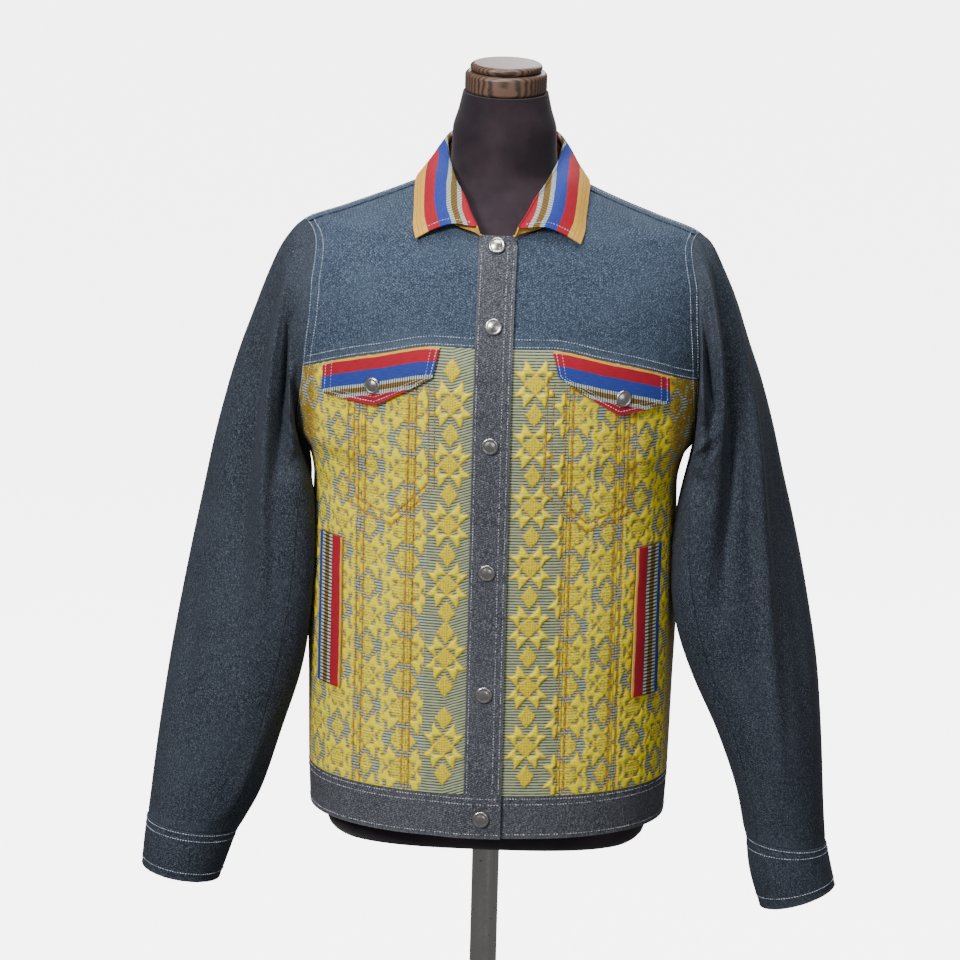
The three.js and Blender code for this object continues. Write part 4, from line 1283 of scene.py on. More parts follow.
@dataclass(frozen=True)
class FlapSize:
    """A chest pocket flap: where its ends and tip lie across the front, and how low they hang."""

    inner_x: float
    outer_x: float
    tip_x: float
    inner_foot: float
    tip_foot: float
    outer_foot: float
    snap_x: float
    snap_height: float

    def foot(self, x: Array) -> Array:
        """The flap's lowest height at x."""
        knots = [self.inner_x, self.tip_x, self.outer_x]
        return np.interp(x, knots, [self.inner_foot, self.tip_foot, self.outer_foot])


FLAPS = {
    Side.RIGHT: FlapSize(47.5, 154, 105, 433, 402.5, 406.5, 107, 420.5),
    Side.LEFT: FlapSize(54, 158, 114, 437, 400.5, 407.5, 117, 416),
}


@dataclass(frozen=True)
class WeltSize:
    """A side pocket's welt: its inner and outer edges across the front, and its ends."""

    inner: float = 133.0
    outer: float = 154.0
    foot: float = 128.0
    head: float = 270.0


WELT = WeltSize()


@dataclass(frozen=True)
class PocketLines:
    """The double stitching that holds a pocket bag, as corners of x and height."""

    outlines: tuple[tuple[Point2, ...], ...] = (
        ((124.5, 402), (124.0, 312), (89, 299), (55, 334), (57, 432)),
        ((130.0, 402), (129.5, 305), (89, 290.5), (49.5, 331), (51.5, 436)),
    )


POCKET_LINES = PocketLines()
PRINCESS_SEAMS = (INNER_SEAM_X, OUTER_SEAM_X)
SEAM_TO_ROW = 3.2
PRINCESS_ROWS = tuple(seam + way * SEAM_TO_ROW for seam in PRINCESS_SEAMS for way in (-1, 1))
THREAD_PRESS = 0.9
SLEEVE_SIDE_X = 168.0
SLEEVE_FADE = 12.0


def clear_of_sleeve(x: Array) -> Array:
    """1 on the front and the back, falling to 0 where the cloth goes in under a sleeve."""
    return smooth((SLEEVE_SIDE_X - np.abs(x)) / SLEEVE_FADE)


def distance_to_path(x: Array, y: Array, corners: Sequence[Point2]) -> Array:
    """The distance of points to a line through corners."""
    nearest = np.full(x.shape, np.inf)
    for (ax, ay), (bx, by) in zip(corners, corners[1:]):
        dx, dy = bx - ax, by - ay
        share = np.clip(((x - ax) * dx + (y - ay) * dy) / (dx * dx + dy * dy), 0, 1)
        nearest = np.minimum(nearest, np.hypot(x - ax - share * dx, y - ay - share * dy))
    return nearest


def pressed(side: Side, x: Array, height: Array) -> tuple[Array, Array]:
    """What stitches, a flap or a welt do to the front's raised cloth.

    Args:
        side: the wearer's side.
        x: distances from the centre line, without sign.
        height: heights.

    Returns:
        The share of the relief that is left, and how far the cloth is drawn in or padded out.
    """
    left = np.ones(x.shape)
    shift = np.zeros(x.shape)
    for row in PRINCESS_ROWS:
        left *= 1 - THREAD_PRESS * bell(x - row, 1.5)
        shift -= 0.35 * bell(x - row, 1.2)
    for seam in PRINCESS_SEAMS:
        shift += 0.75 * bell(x - seam, 1.9, 4)
    for outline in POCKET_LINES.outlines:
        away = distance_to_path(x, height, outline)
        left *= 1 - THREAD_PRESS * bell(away, 1.4)
        shift -= 0.3 * bell(away, 1.1)
    flap = FLAPS[side]
    beside = np.maximum(flap.inner_x - x, x - flap.outer_x)
    under_flap = smooth(-np.maximum(beside, flap.foot(x) - height) / 2 + 0.6)
    beside_welt = np.maximum(WELT.inner - x, x - WELT.outer)
    above_welt = np.maximum(WELT.foot - height, height - WELT.head)
    under_welt = smooth(-np.maximum(beside_welt, above_welt) / 2 + 1)
    shown = (1 - under_flap) * (1 - under_welt)
    return left * shown * clear_of_sleeve(x), shift * shown


def column_grid(left: Array, right: Array, columns: int) -> Array:
    """Rows of evenly spaced values between two edges."""
    return mix(left[:, None], right[:, None], np.linspace(0, 1, columns)[None])


@dataclass
class JacquardPanels:
    """The fronts and back of raised jacquard."""

    finishes: Finishes
    front_cell: float = 1.1
    back_cell: float = 1.7
    armhole_rows: tuple[float, ...] = (349.2, 349.6, 350, 350.6, 351.3, 352.2, 353.4, 355, 357, 359.5)
    under_armhole: float = 348.0
    over_armhole: float = 361.0
    last_level: float = 404.0
    top_climb: float = 30.0
    side_width: float = 70.0
    back_width: float = 440.0
    rib_slope: float = -0.36
    inner_step: int = 4
    foot: float = BAND_HEIGHT + SEAM_GAP

    def build(self) -> None:
        """Builds every panel."""
        for side in Side:
            self.upright(side, "centre", UNDER_PLACKET_HALF + SEAM_GAP, INNER_SEAM_X - SEAM_GAP / 2)
            self.upright(side, "middle", INNER_SEAM_X + SEAM_GAP / 2, OUTER_SEAM_X - SEAM_GAP / 2)
            self.side_front(side)
        self.back()

    def panel(self, name: str, wall: Wall, woven: Woven, plain: Array, yoke: str) -> None:
        """Builds and dresses one panel, whose cut is measured on a plain grid."""
        step = self.inner_step
        cut = Cut(plain[::step, ::step], ["form_torso", yoke])
        sheet(name, wall, step, woven.layers(), self.finishes.jacquard, Slot.JACQUARD, cut)

    def woven_front(self, place: str, side: Side, angle: Array, height: Array) -> None:
        """Builds and dresses one front panel from its grid of angles and heights."""
        x = np.abs(BODY.point(angle, height)[..., 0])
        u = arc_from_front(angle, height)
        left, shift = pressed(side, x, height)
        woven = PATTERN.weave(side, u, height, left)
        edge = self.edge_fade(height.shape)
        wall = body_wall(angle, height, JACQUARD_THICK, 0, (woven.rise + shift) * edge)
        if side is Side.RIGHT:
            wall = wall._replace(along=height + self.rib_slope * np.maximum(0, PATTERN.bold_column - u))
        self.panel(f"front_{place}_{side.word}", wall, woven, cloth(angle, height), f"front_yoke_{side.word}")

    @staticmethod
    def edge_fade(shape: tuple[int, ...]) -> Array:
        """1 inside a grid, falling to 0 at its edges, where the cloth is sewn down."""
        rows, columns = shape
        r = np.minimum(np.arange(rows), np.arange(rows)[::-1])
        c = np.minimum(np.arange(columns), np.arange(columns)[::-1])
        return np.minimum(1, np.minimum(r[:, None], c[None]) / 2)

    def upright(self, side: Side, place: str, inner: float, outer: float) -> None:
        """A front panel between two seams that stand upright."""
        rows = int((YOKE_SEAM.values[0] - self.foot) / self.front_cell)
        x = np.linspace(inner, outer, int((outer - inner) / self.front_cell))[None]
        height = mix(self.foot, YOKE_SEAM(x) - SEAM_GAP / 2, np.linspace(0, 1, rows)[:, None])
        angle = side.value * BODY.angle_at_x(np.broadcast_to(x, height.shape), height)
        self.woven_front(place, side, angle, height)

    def levels(self, head: float, cell: float) -> Array:
        """Heights of rows up to a head, close together where the armhole begins."""
        low, high = np.arange(self.foot, self.under_armhole, cell), np.arange(self.over_armhole, head, cell)
        return np.concatenate([low, self.armhole_rows, high])

    def side_front(self, side: Side) -> None:
        """The front's side panel, out to the side seam and the armhole."""
        inner = OUTER_SEAM_X + SEAM_GAP / 2
        levels = self.levels(self.last_level + 0.1, self.front_cell)
        columns = int(self.side_width / self.front_cell)
        share = np.linspace(0, 1, columns)[None]

        def level_angle(height: Array) -> Array:
            """Angles across the panel at heights."""
            edge = BODY.angle_at_y(ARMHOLE.cloth_edge_y(side, height, -1), height)
            return mix(BODY.angle_at_x(inner, height), edge, share)

        low = np.broadcast_to(levels[:, None], (len(levels), columns))
        head_x = mix(inner, yoke_foot_x(side, -SEAM_GAP / 2), share)
        head = YOKE_SEAM(head_x) - SEAM_GAP / 2
        climb = np.linspace(0, 1, int(self.top_climb / self.front_cell))[1:, None]
        high = mix(levels[-1], head, climb)
        angle_high = mix(level_angle(high), BODY.angle_at_x(head_x, high), climb)
        height = np.concatenate([low, high])
        angle = side.value * np.concatenate([level_angle(low), angle_high])
        self.woven_front("side", side, angle, height)

    def back(self) -> None:
        """The back of the body, from side seam to side seam."""
        head = BACK_YOKE_HEIGHT - SEAM_GAP / 2
        levels = np.append(self.levels(head, self.back_cell), head)
        edge = BODY.angle_at_y(ARMHOLE.cloth_edge_y(Side.LEFT, levels, 1), levels)
        angle = column_grid(edge, 2 * np.pi - edge, int(self.back_width / self.back_cell))
        height = np.broadcast_to(levels[:, None], angle.shape)
        u = arc_from_front(np.minimum(angle, 2 * np.pi - angle), height)
        half_round = arc_from_front(np.full((len(levels), 1), np.pi), height[:, :1])
        from_middle = half_round - u + PATTERN.bold_column + PATTERN.column_pitch
        free = clear_of_sleeve(BODY.point(angle, height)[..., 0])
        woven = PATTERN.weave(Side.LEFT, np.maximum(from_middle, PATTERN.left_reach + 1), height, free)
        wall = body_wall(angle, height, JACQUARD_THICK, 0, woven.rise * self.edge_fade(angle.shape))
        wall = wall._replace(across=from_middle)
        self.panel("back_panel", wall, woven, cloth(angle, height), "back_yoke")


def yoke_foot_x(side: Side, rise: float) -> float:
    """The outermost x of a front panel's or yoke's edge at the yoke seam."""
    x = 180.0
    for _ in range(2):
        height = YOKE_SEAM(x) + rise
        angle = BODY.angle_at_y(ARMHOLE.cloth_edge_y(side, height, -1), height)
        x = float(BODY.point(angle, height)[0])
    return x


def neckline_x(height: Number) -> Array:
    """The x of the front neckline at a height."""
    drop = (SIDE_NECK - height) / (SIDE_NECK - FRONT_NECK + 2)
    return NECK_HALF_WIDTH * np.sqrt(np.clip(1 - drop * drop, 0, 1))


def seam_pucker(along: Array, away: Array, reach: float = 9.0, amount: float = 0.3) -> Array:
    """The small ripples that a stitched seam draws up, fading away from it."""
    waves = np.sin(along / 2.1) + 0.6 * np.sin(along / 3.7 + 1.3) + 0.5 * np.sin(along / 5.9 + 0.4)
    return amount * waves * bell(away, reach)


@dataclass
class Yokes:
    """The denim yokes, front and back."""

    finishes: Finishes
    cell: float = 3.0
    front_width: float = 185.0
    level_from: float = 480.0
    level_to: float = 587.5
    neckline_from: float = 551.0
    back_half_width: float = 240.0
    seam_pad: float = 5.0
    rubbed: float = 10.0
    shoulder_rub: float = 40.0

    def build(self) -> None:
        """Builds the three yokes."""
        for side in Side:
            self.front(side)
        self.back()

    def front(self, side: Side) -> None:
        """A front yoke, from the yoke seam up to the neckline and the shoulder seam."""
        inner = UNDER_PLACKET_HALF + SEAM_GAP
        foot_x = yoke_foot_x(side, SEAM_GAP / 2)
        columns = int(self.front_width / self.cell)
        share = np.linspace(0, 1, columns)[None]
        x = mix(inner, foot_x, share)
        foot = YOKE_SEAM(x) + SEAM_GAP / 2
        climb = np.linspace(0, 1, int((self.level_from - BACK_YOKE_HEIGHT) / self.cell))[:-1, None]
        low = mix(foot, self.level_from, climb)

        def level_angle(height: Array) -> Array:
            """Angles across the yoke at heights."""
            in_neckline = smooth((height - self.neckline_from) / 5)
            start = mix(inner, np.maximum(inner, neckline_x(height)), in_neckline)
            armhole_y = ARMHOLE.cloth_edge_y(side, height, -1)
            edge_y = np.where(height < SHOULDER_POINT, armhole_y, SHOULDER_SEAM_Y)
            edge = BODY.angle_at_y(np.minimum(edge_y, SHOULDER_SEAM_Y - SEAM_GAP / 2), height)
            return mix(BODY.angle_at_x(start, height), edge, share)

        angle_low = mix(BODY.angle_at_x(x, low), level_angle(low), climb)
        levels = np.concatenate([np.linspace(self.level_from, SHOULDER_POINT, 28),
                                 np.linspace(SHOULDER_POINT + 2, self.level_to, 30)])
        high = np.broadcast_to(levels[:, None], (len(levels), columns))
        height = np.concatenate([low, high])
        angle = side.value * np.concatenate([angle_low, level_angle(high)])
        p = BODY.point(angle, height)
        above_seam = height - YOKE_SEAM(np.abs(p[..., 0]))
        ripple = seam_pucker(p[..., 0], above_seam - self.seam_pad)
        name = f"front_yoke_{side.word}"
        from_shoulder = np.where(height > SHOULDER_POINT, SHOULDER_SEAM_Y - p[..., 1], 30)
        tucked = -0.9 * bell(from_shoulder, 2.4)
        wall = body_wall(angle, height, DENIM_THICK, 0, ripple * smooth(above_seam / 2) + tucked)
        wear_and_fold_highlight = 0.55 * bell(above_seam, self.rubbed) + 0.25 * smooth((height - 520) / self.shoulder_rub)
        cut = Cut(cloth(angle, height), ["form_torso"])
        sheet(name, wall, INNER_STEP, {"wear_and_fold_highlight": wear_and_fold_highlight}, self.finishes.denim, Slot.DENIM, cut)

    def back(self) -> None:
        """The back yoke, which laps over the shoulders to the seam just in front of them."""
        low = np.arange(BACK_YOKE_HEIGHT + SEAM_GAP / 2, SHOULDER_POINT - 6, self.cell)
        levels = np.concatenate([low, np.linspace(SHOULDER_POINT - 5, SIDE_NECK, 40)])
        armhole_y = ARMHOLE.cloth_edge_y(Side.LEFT, levels, 1)
        edge_y = np.where(levels < SHOULDER_POINT, armhole_y, SHOULDER_SEAM_Y + SEAM_GAP / 2)
        edge = BODY.angle_at_y(edge_y, levels)
        angle = column_grid(edge, 2 * np.pi - edge, 2 * int(self.back_half_width / self.cell) + 1)
        height = np.broadcast_to(levels[:, None], angle.shape)
        above = height - BACK_YOKE_HEIGHT
        p = BODY.point(angle, height)
        ripple = seam_pucker(p[..., 0], above - self.seam_pad) * smooth(above / 2)
        past_shoulder = np.where(height > SHOULDER_POINT, p[..., 1] - SHOULDER_SEAM_Y, 30)
        folded = 0.5 * bell(past_shoulder, 9, 4)
        wall = body_wall(angle, height, DENIM_THICK, 0, ripple + folded)
        wear_and_fold_highlight = 0.5 * bell(above, self.rubbed) + 0.3 * smooth((height - 525) / self.shoulder_rub)
        cut = Cut(cloth(angle, height), ["form_torso"])
        sheet("back_yoke", wall, INNER_STEP, {"wear_and_fold_highlight": wear_and_fold_highlight}, self.finishes.denim, Slot.DENIM, cut)


@dataclass
class Closure:
    """The charcoal strips of the front's edges and the hem band, with their snap caps."""

    finishes: Finishes
    cell: float = 2.0
    corner: float = 9.0
    snap_heights: tuple[float, ...] = (548, 480, 373, 254, 138, 19)
    strip_cell: float = 1.1
    strip_step: int = 2
    edge_row: float = 2.6
    band_rows: int = 22
    band_columns: int = 460
    band_cell: float = 2.05
    band_row: float = 3.0
    ramp_end: float = 50.0
    out: float = DOUBLED + LAYER_GAP

    def build(self) -> None:
        """Builds the strips, the band and the caps."""
        self.strip("placket_over", PLACKET_RIGHT_EDGE, PLACKET_LEFT_EDGE, self.out, DOUBLED)
        self.strip("placket_under", -UNDER_PLACKET_HALF, UNDER_PLACKET_HALF, 0, JACQUARD_THICK)
        self.band()
        for i, height in enumerate(self.snap_heights):
            snap_cap(f"snap_{i + 1}", 0, height, self.out + LAYER_GAP, self.finishes.nickel)

    def strip(self, name: str, start: float, end: float, out: float, thickness: float) -> None:
        """An upright strip whose upper corner at the free edge is rounded."""
        x = np.linspace(start, end, int((end - start) / self.strip_cell))[None]
        into_corner = np.clip((x - (end - self.corner)) / self.corner, 0, 1)
        head = FRONT_NECK - self.corner * (1 - np.sqrt(1 - into_corner**2)) * 0.98
        rows = int((FRONT_NECK - BAND_HEIGHT) / self.cell)
        height = mix(BAND_HEIGHT + SEAM_GAP, head, np.linspace(0, 1, rows)[:, None])
        angle = BODY.angle_at_x(np.broadcast_to(x, height.shape), height)
        from_edge = np.minimum(x - start, end - x) + 0 * height
        groove = -0.3 * bell(from_edge - self.edge_row, 1.1)
        padding = groove + seam_pucker(height, from_edge - 2, 4, 0.12)
        wall = body_wall(angle, height, thickness, out, padding)._replace(across=x + 0 * height)
        wear_and_fold_highlight = 0.45 * bell(from_edge, 1.6)
        cut = Cut(cloth(angle, height), ["form_torso"])
        sheet(name, wall, self.strip_step, {"wear_and_fold_highlight": wear_and_fold_highlight}, self.finishes.charcoal, Slot.CHARCOAL, cut)

    def band_out(self, angle: Array, height: Array) -> Array:
        """How far the hem band stands off the body, where its right end laps over its left."""
        x, y = np.moveaxis(BODY.point(angle, height)[..., :2], -1, 0)
        lap = smooth((x + self.ramp_end) / (self.ramp_end + PLACKET_RIGHT_EDGE))
        return np.where((angle > np.pi) & (y < 0), self.out * lap, 0)

    def band(self) -> None:
        """The hem band, one strip round the body."""
        levels = np.linspace(0, BAND_HEIGHT, self.band_rows)
        start = BODY.angle_at_x(-UNDER_PLACKET_HALF, levels)
        end = 2 * np.pi + BODY.angle_at_x(PLACKET_LEFT_EDGE, levels)
        angle = column_grid(start, end, self.band_columns)
        height = np.broadcast_to(levels[:, None], angle.shape)
        around = np.cumsum(np.full(angle.shape, self.band_cell), axis=1)
        from_top = BAND_HEIGHT - height
        from_row = from_top - self.band_row
        ripple = seam_pucker(around, from_row, 7, 0.16) - 0.25 * bell(from_row, 1.4)
        out = self.band_out(angle, height)
        outer = cloth(angle, height, out + ripple)
        wall = Wall(outer, cloth(angle, height, out - DOUBLED), around, height)
        wear_and_fold_highlight = 0.5 * bell(height, 2.2) + 0.3 * bell(from_top, 1.5)
        cut = Cut(cloth(angle, height, out), ["form_torso"])
        sheet("hem_band", wall, INNER_STEP, {"wear_and_fold_highlight": wear_and_fold_highlight}, self.finishes.charcoal, Slot.CHARCOAL, cut)


SNAP_PROFILE = [
    (7.2, 0), (7.7, 0.5), (7.65, 1.1), (7.2, 1.65), (6.6, 1.9), (6.0, 1.86), (5.4, 1.62),
    (5.0, 1.6), (4.3, 1.85), (3.2, 2.2), (2.0, 2.42), (0.9, 2.52), (0.15, 2.55)]
SNAP_SEGMENTS = 48


def snap_cap(name: str, x: float, height: float, out: float, metal: Material) -> None:
    """A pressed snap cap: a rolled rim round a shallow groove and a low dome."""
    rings = turned_rings(SNAP_PROFILE, SNAP_SEGMENTS)
    p = BODY.point(BODY.angle_at_x(x, height), height)
    outward = BODY.normal(p)
    sideways = unit(np.cross([0, 0, 1], outward))
    upward = np.cross(outward, sideways)
    base = cloth(BODY.angle_at_x(x, height), height, out)
    points = base + rings @ np.stack([sideways, upward, outward])
    placed(ringed_object(f"{name}_cap", points), metal, Slot.SNAP, name)


@dataclass
class Pockets:
    """The striped chest flaps with their snaps, and the striped side welts."""

    finishes: Finishes
    lift: float = 1.6
    slant: float = 6.0
    flap_columns: int = 76
    flap_rows: int = 30
    flap_width: float = 100.0
    flap_depth: float = 40.0
    flap_row: float = 3.2
    snap_down: float = 0.8
    welt_columns: int = 16
    welt_rows: int = 80
    welt_width: float = 22.0
    welt_roll: float = 0.5

    def build(self) -> None:
        """Builds both sides' pockets."""
        for side in Side:
            self.flap(side, FLAPS[side])
            self.welt(side)

    def flap_out(self, down: Array) -> Array:
        """How far a flap's outer side stands off the body, from its seam down to its foot."""
        return JACQUARD_THICK + LAYER_GAP + self.lift * down

    @staticmethod
    def belly(share: Array, down: Array) -> Array:
        """How far a flap swells between its ends, most at its foot."""
        return 0.5 * np.sin(np.pi * share) * down

    def flap_place(self, side: Side, size: FlapSize, share: Array, down: Array) -> tuple[Array, Array]:
        """The angle and height of places across and down a flap."""
        tip_share = (size.tip_x - size.inner_x) / (size.outer_x - size.inner_x)
        lean = self.slant * down * np.maximum(0, 1 - share / tip_share)
        x = mix(size.inner_x + lean, size.outer_x, share)
        foot = size.foot(mix(size.inner_x, size.outer_x, share))
        height = mix(YOKE_SEAM(x) - 2 * SEAM_GAP, foot, down)
        return side.value * BODY.angle_at_x(x, height), height

    def flap(self, side: Side, size: FlapSize) -> None:
        """A pointed flap hung from the yoke seam, its foot standing a little off the cloth."""
        share, down = np.meshgrid(np.linspace(0, 1, self.flap_columns), np.linspace(0, 1, self.flap_rows))
        angle, height = self.flap_place(side, size, share, down)
        from_side = np.minimum(share, 1 - share) * self.flap_width
        edge = np.minimum(from_side, (1 - down) * self.flap_depth)
        out = self.flap_out(down) + (self.belly(share, down) - 0.3 * bell(edge - self.flap_row, 1.3))
        outer, inner = cloth(angle, height, out), cloth(angle, height, out - JACQUARD_THICK)
        x = np.abs(BODY.point(angle, height)[..., 0])
        wall = Wall(outer, inner, x, YOKE_SEAM(x) - height)
        cut = Cut(outer, [f"front_yoke_{side.word}"])
        sheet(f"pocket_flap_{side.word}", wall, INNER_STEP, {}, self.finishes.flap, Slot.STRIPE, cut)
        snap_out = self.flap_out(self.snap_down) + self.lift * (1 - self.snap_down)
        snap_cap(f"flap_snap_{side.word}", side.value * size.snap_x, size.snap_height, snap_out,
                 self.finishes.nickel)

    def welt(self, side: Side) -> None:
        """An upright welt over a side pocket's slit, rolled at both edges."""
        share, up = np.meshgrid(np.linspace(0, 1, self.welt_columns), np.linspace(0, 1, self.welt_rows))
        height = mix(WELT.foot, WELT.head, up)
        x = mix(WELT.inner, WELT.outer, share)
        angle = side.value * BODY.angle_at_x(x, height)
        edge = np.minimum(share, 1 - share) * self.welt_width
        roll = self.welt_roll * (1 - bell(edge, 2.4))
        out = JACQUARD_THICK + 2 * LAYER_GAP
        wall = body_wall(angle, height, JACQUARD_THICK, out, roll - 0.4)._replace(across=x - WELT.inner)
        cut = Cut(wall.outer, [f"front_side_{side.word}"])
        sheet(f"pocket_welt_{side.word}", wall, INNER_STEP, {}, self.finishes.welt, Slot.STRIPE, cut)


class SleeveRing(NamedTuple):
    """A ring of a sleeve: its outer and inner edge from the front, its depth, middle and lean."""

    out_x: float
    out_z: float
    in_x: float
    in_z: float
    deep: float
    mid_y: float
    forward: float

    def point(self, side: Side, degrees: Array) -> Array:
        """Points of the ring at angles."""
        turn = np.radians(degrees)
        c, s = np.cos(turn), np.sin(turn)
        x = (self.out_x + self.in_x) / 2 + c * (self.out_x - self.in_x) / 2
        z = (self.out_z + self.in_z) / 2 + c * (self.out_z - self.in_z) / 2
        return np.stack([side.value * x, self.mid_y - s * self.deep + c * self.forward, z], -1)

    def centre(self, side: Side) -> Array:
        """The ring's centre."""
        return np.array([side.value * (self.out_x + self.in_x) / 2, self.mid_y, (self.out_z + self.in_z) / 2])


class Fold(NamedTuple):
    """A fold of a sleeve: its angles down its length, the rings between, its rise and width."""

    top: float
    middle: float
    foot: float
    start: float
    end: float
    rise: float
    wide: float


def rings(*rows: tuple[float, ...]) -> list[SleeveRing]:
    """Sleeve rings from rows of sizes."""
    return [SleeveRing(*row) for row in rows]


SLEEVE_RINGS = {
    Side.RIGHT: rings(
        (193, 534, 181, 343, 62, -4, 2),
        (203, 517, 177, 333, 64, -5, 6),
        (214, 489, 171, 321, 65, -6, 12),
        (226, 454, 165, 307, 64, -7, 18),
        (238, 420, 161, 291, 62, -8, 24),
        (250, 381, 160, 271, 60, -10, 28),
        (261, 335, 160, 246, 58, -12, 30),
        (271, 282, 161, 214, 57, -14, 30),
        (282, 222, 165, 176, 56, -18, 26),
        (293, 154, 173, 128, 54, -22, 18),
        (301, 90, 189, 74, 52, -27, 10),
        (308, 30, 207, 16, 48, -31, 4),
        (312, -14, 227, -23, 44, -34, 0),
    ),
    Side.LEFT: rings(
        (193, 534, 182, 343, 62, -4, 2),
        (203, 514, 179, 333, 64, -5, 6),
        (216, 483, 174, 321, 65, -6, 12),
        (229, 443, 170, 307, 64, -7, 18),
        (241, 408, 167, 291, 62, -8, 24),
        (253, 366, 165, 271, 60, -10, 28),
        (264, 320, 164, 246, 58, -12, 30),
        (276, 272, 166, 216, 57, -14, 30),
        (289, 214, 173, 180, 56, -18, 24),
        (300, 152, 188, 138, 54, -22, 16),
        (306.5, 88, 211, 88, 52, -27, 8),
        (311.5, 26, 230, 36, 48, -31, 3),
        (315, -17, 240, -8, 44, -34, 0),
    ),
}
CUFF_RINGS = {
    Side.RIGHT: rings(
        (313.2, -14.5, 228, -23.6, 45, -34, 0),
        (315.5, -37, 236, -47, 44, -36, 0),
        (317, -60, 244, -71, 42, -38, 0),
    ),
    Side.LEFT: rings(
        (316, -17.6, 241, -8.8, 45, -34, 0),
        (320.5, -36, 245.5, -44, 44, -36, 0),
        (325.5, -57, 256, -78, 42, -38, 0),
    ),
}
SLEEVE_FOLDS = {
    Side.RIGHT: [
        Fold(48, 80, 108, 0.5, 10, 13, 8),
        Fold(26, 58, 92, 0.8, 10.5, -15, 13),
        Fold(72, 94, 102, 0.3, 6.4, -16, 9),
        Fold(104, 107, 104, 0.3, 3.4, 8, 7),
        Fold(20, 34, 48, 0.2, 3.6, 4, 6),
        Fold(120, 108, 97, 1.2, 4.1, 5, 6),
        Fold(142, 118, 97, 2.2, 4.2, 5, 6),
        Fold(146, 124, 106, 2.9, 5.8, -6, 9),
        Fold(4, 14, 30, 0.8, 8, 4, 11),
        Fold(212, 218, 225, 1.5, 8, -4, 18),
        Fold(300, 305, 310, 1.2, 9, -5, 20),
        Fold(36, 47, 58, 8.6, 12.2, -3.0, 10),
        Fold(140, 130, 120, 10.4, 12.9, 2.2, 9),
        Fold(338, 345, 352, 8.4, 12.4, 2.4, 10),
        Fold(276, 266, 256, 9.0, 12.6, -2.6, 10),
    ],
    Side.LEFT: [
        Fold(-2, 50, 82, 0.3, 12, 10, 8),
        Fold(16, 66, 108, 0.3, 9.0, -16, 9),
        Fold(36, 62, 80, 0.3, 5.6, 11, 7),
        Fold(66, 84, 94, 0.2, 4.8, -16, 9),
        Fold(106, 95, 84, 0.6, 4.6, 8, 6),
        Fold(132, 108, 84, 2.6, 4.5, 5, 6),
        Fold(142, 120, 100, 3.2, 6.2, -6, 9),
        Fold(10, 30, 44, 4.0, 12, -3, 11),
        Fold(150, 155, 160, 3, 8, -4, 14),
        Fold(296, 300, 305, 1.2, 9, -5, 20),
        Fold(110, 100, 88, 8.2, 12.9, 2.6, 8),
        Fold(132, 122, 112, 9.6, 12.9, -2.6, 9),
        Fold(336, 343, 350, 8.2, 12.2, 2.2, 10),
        Fold(270, 261, 252, 8.8, 12.4, -2.4, 10),
    ],
}


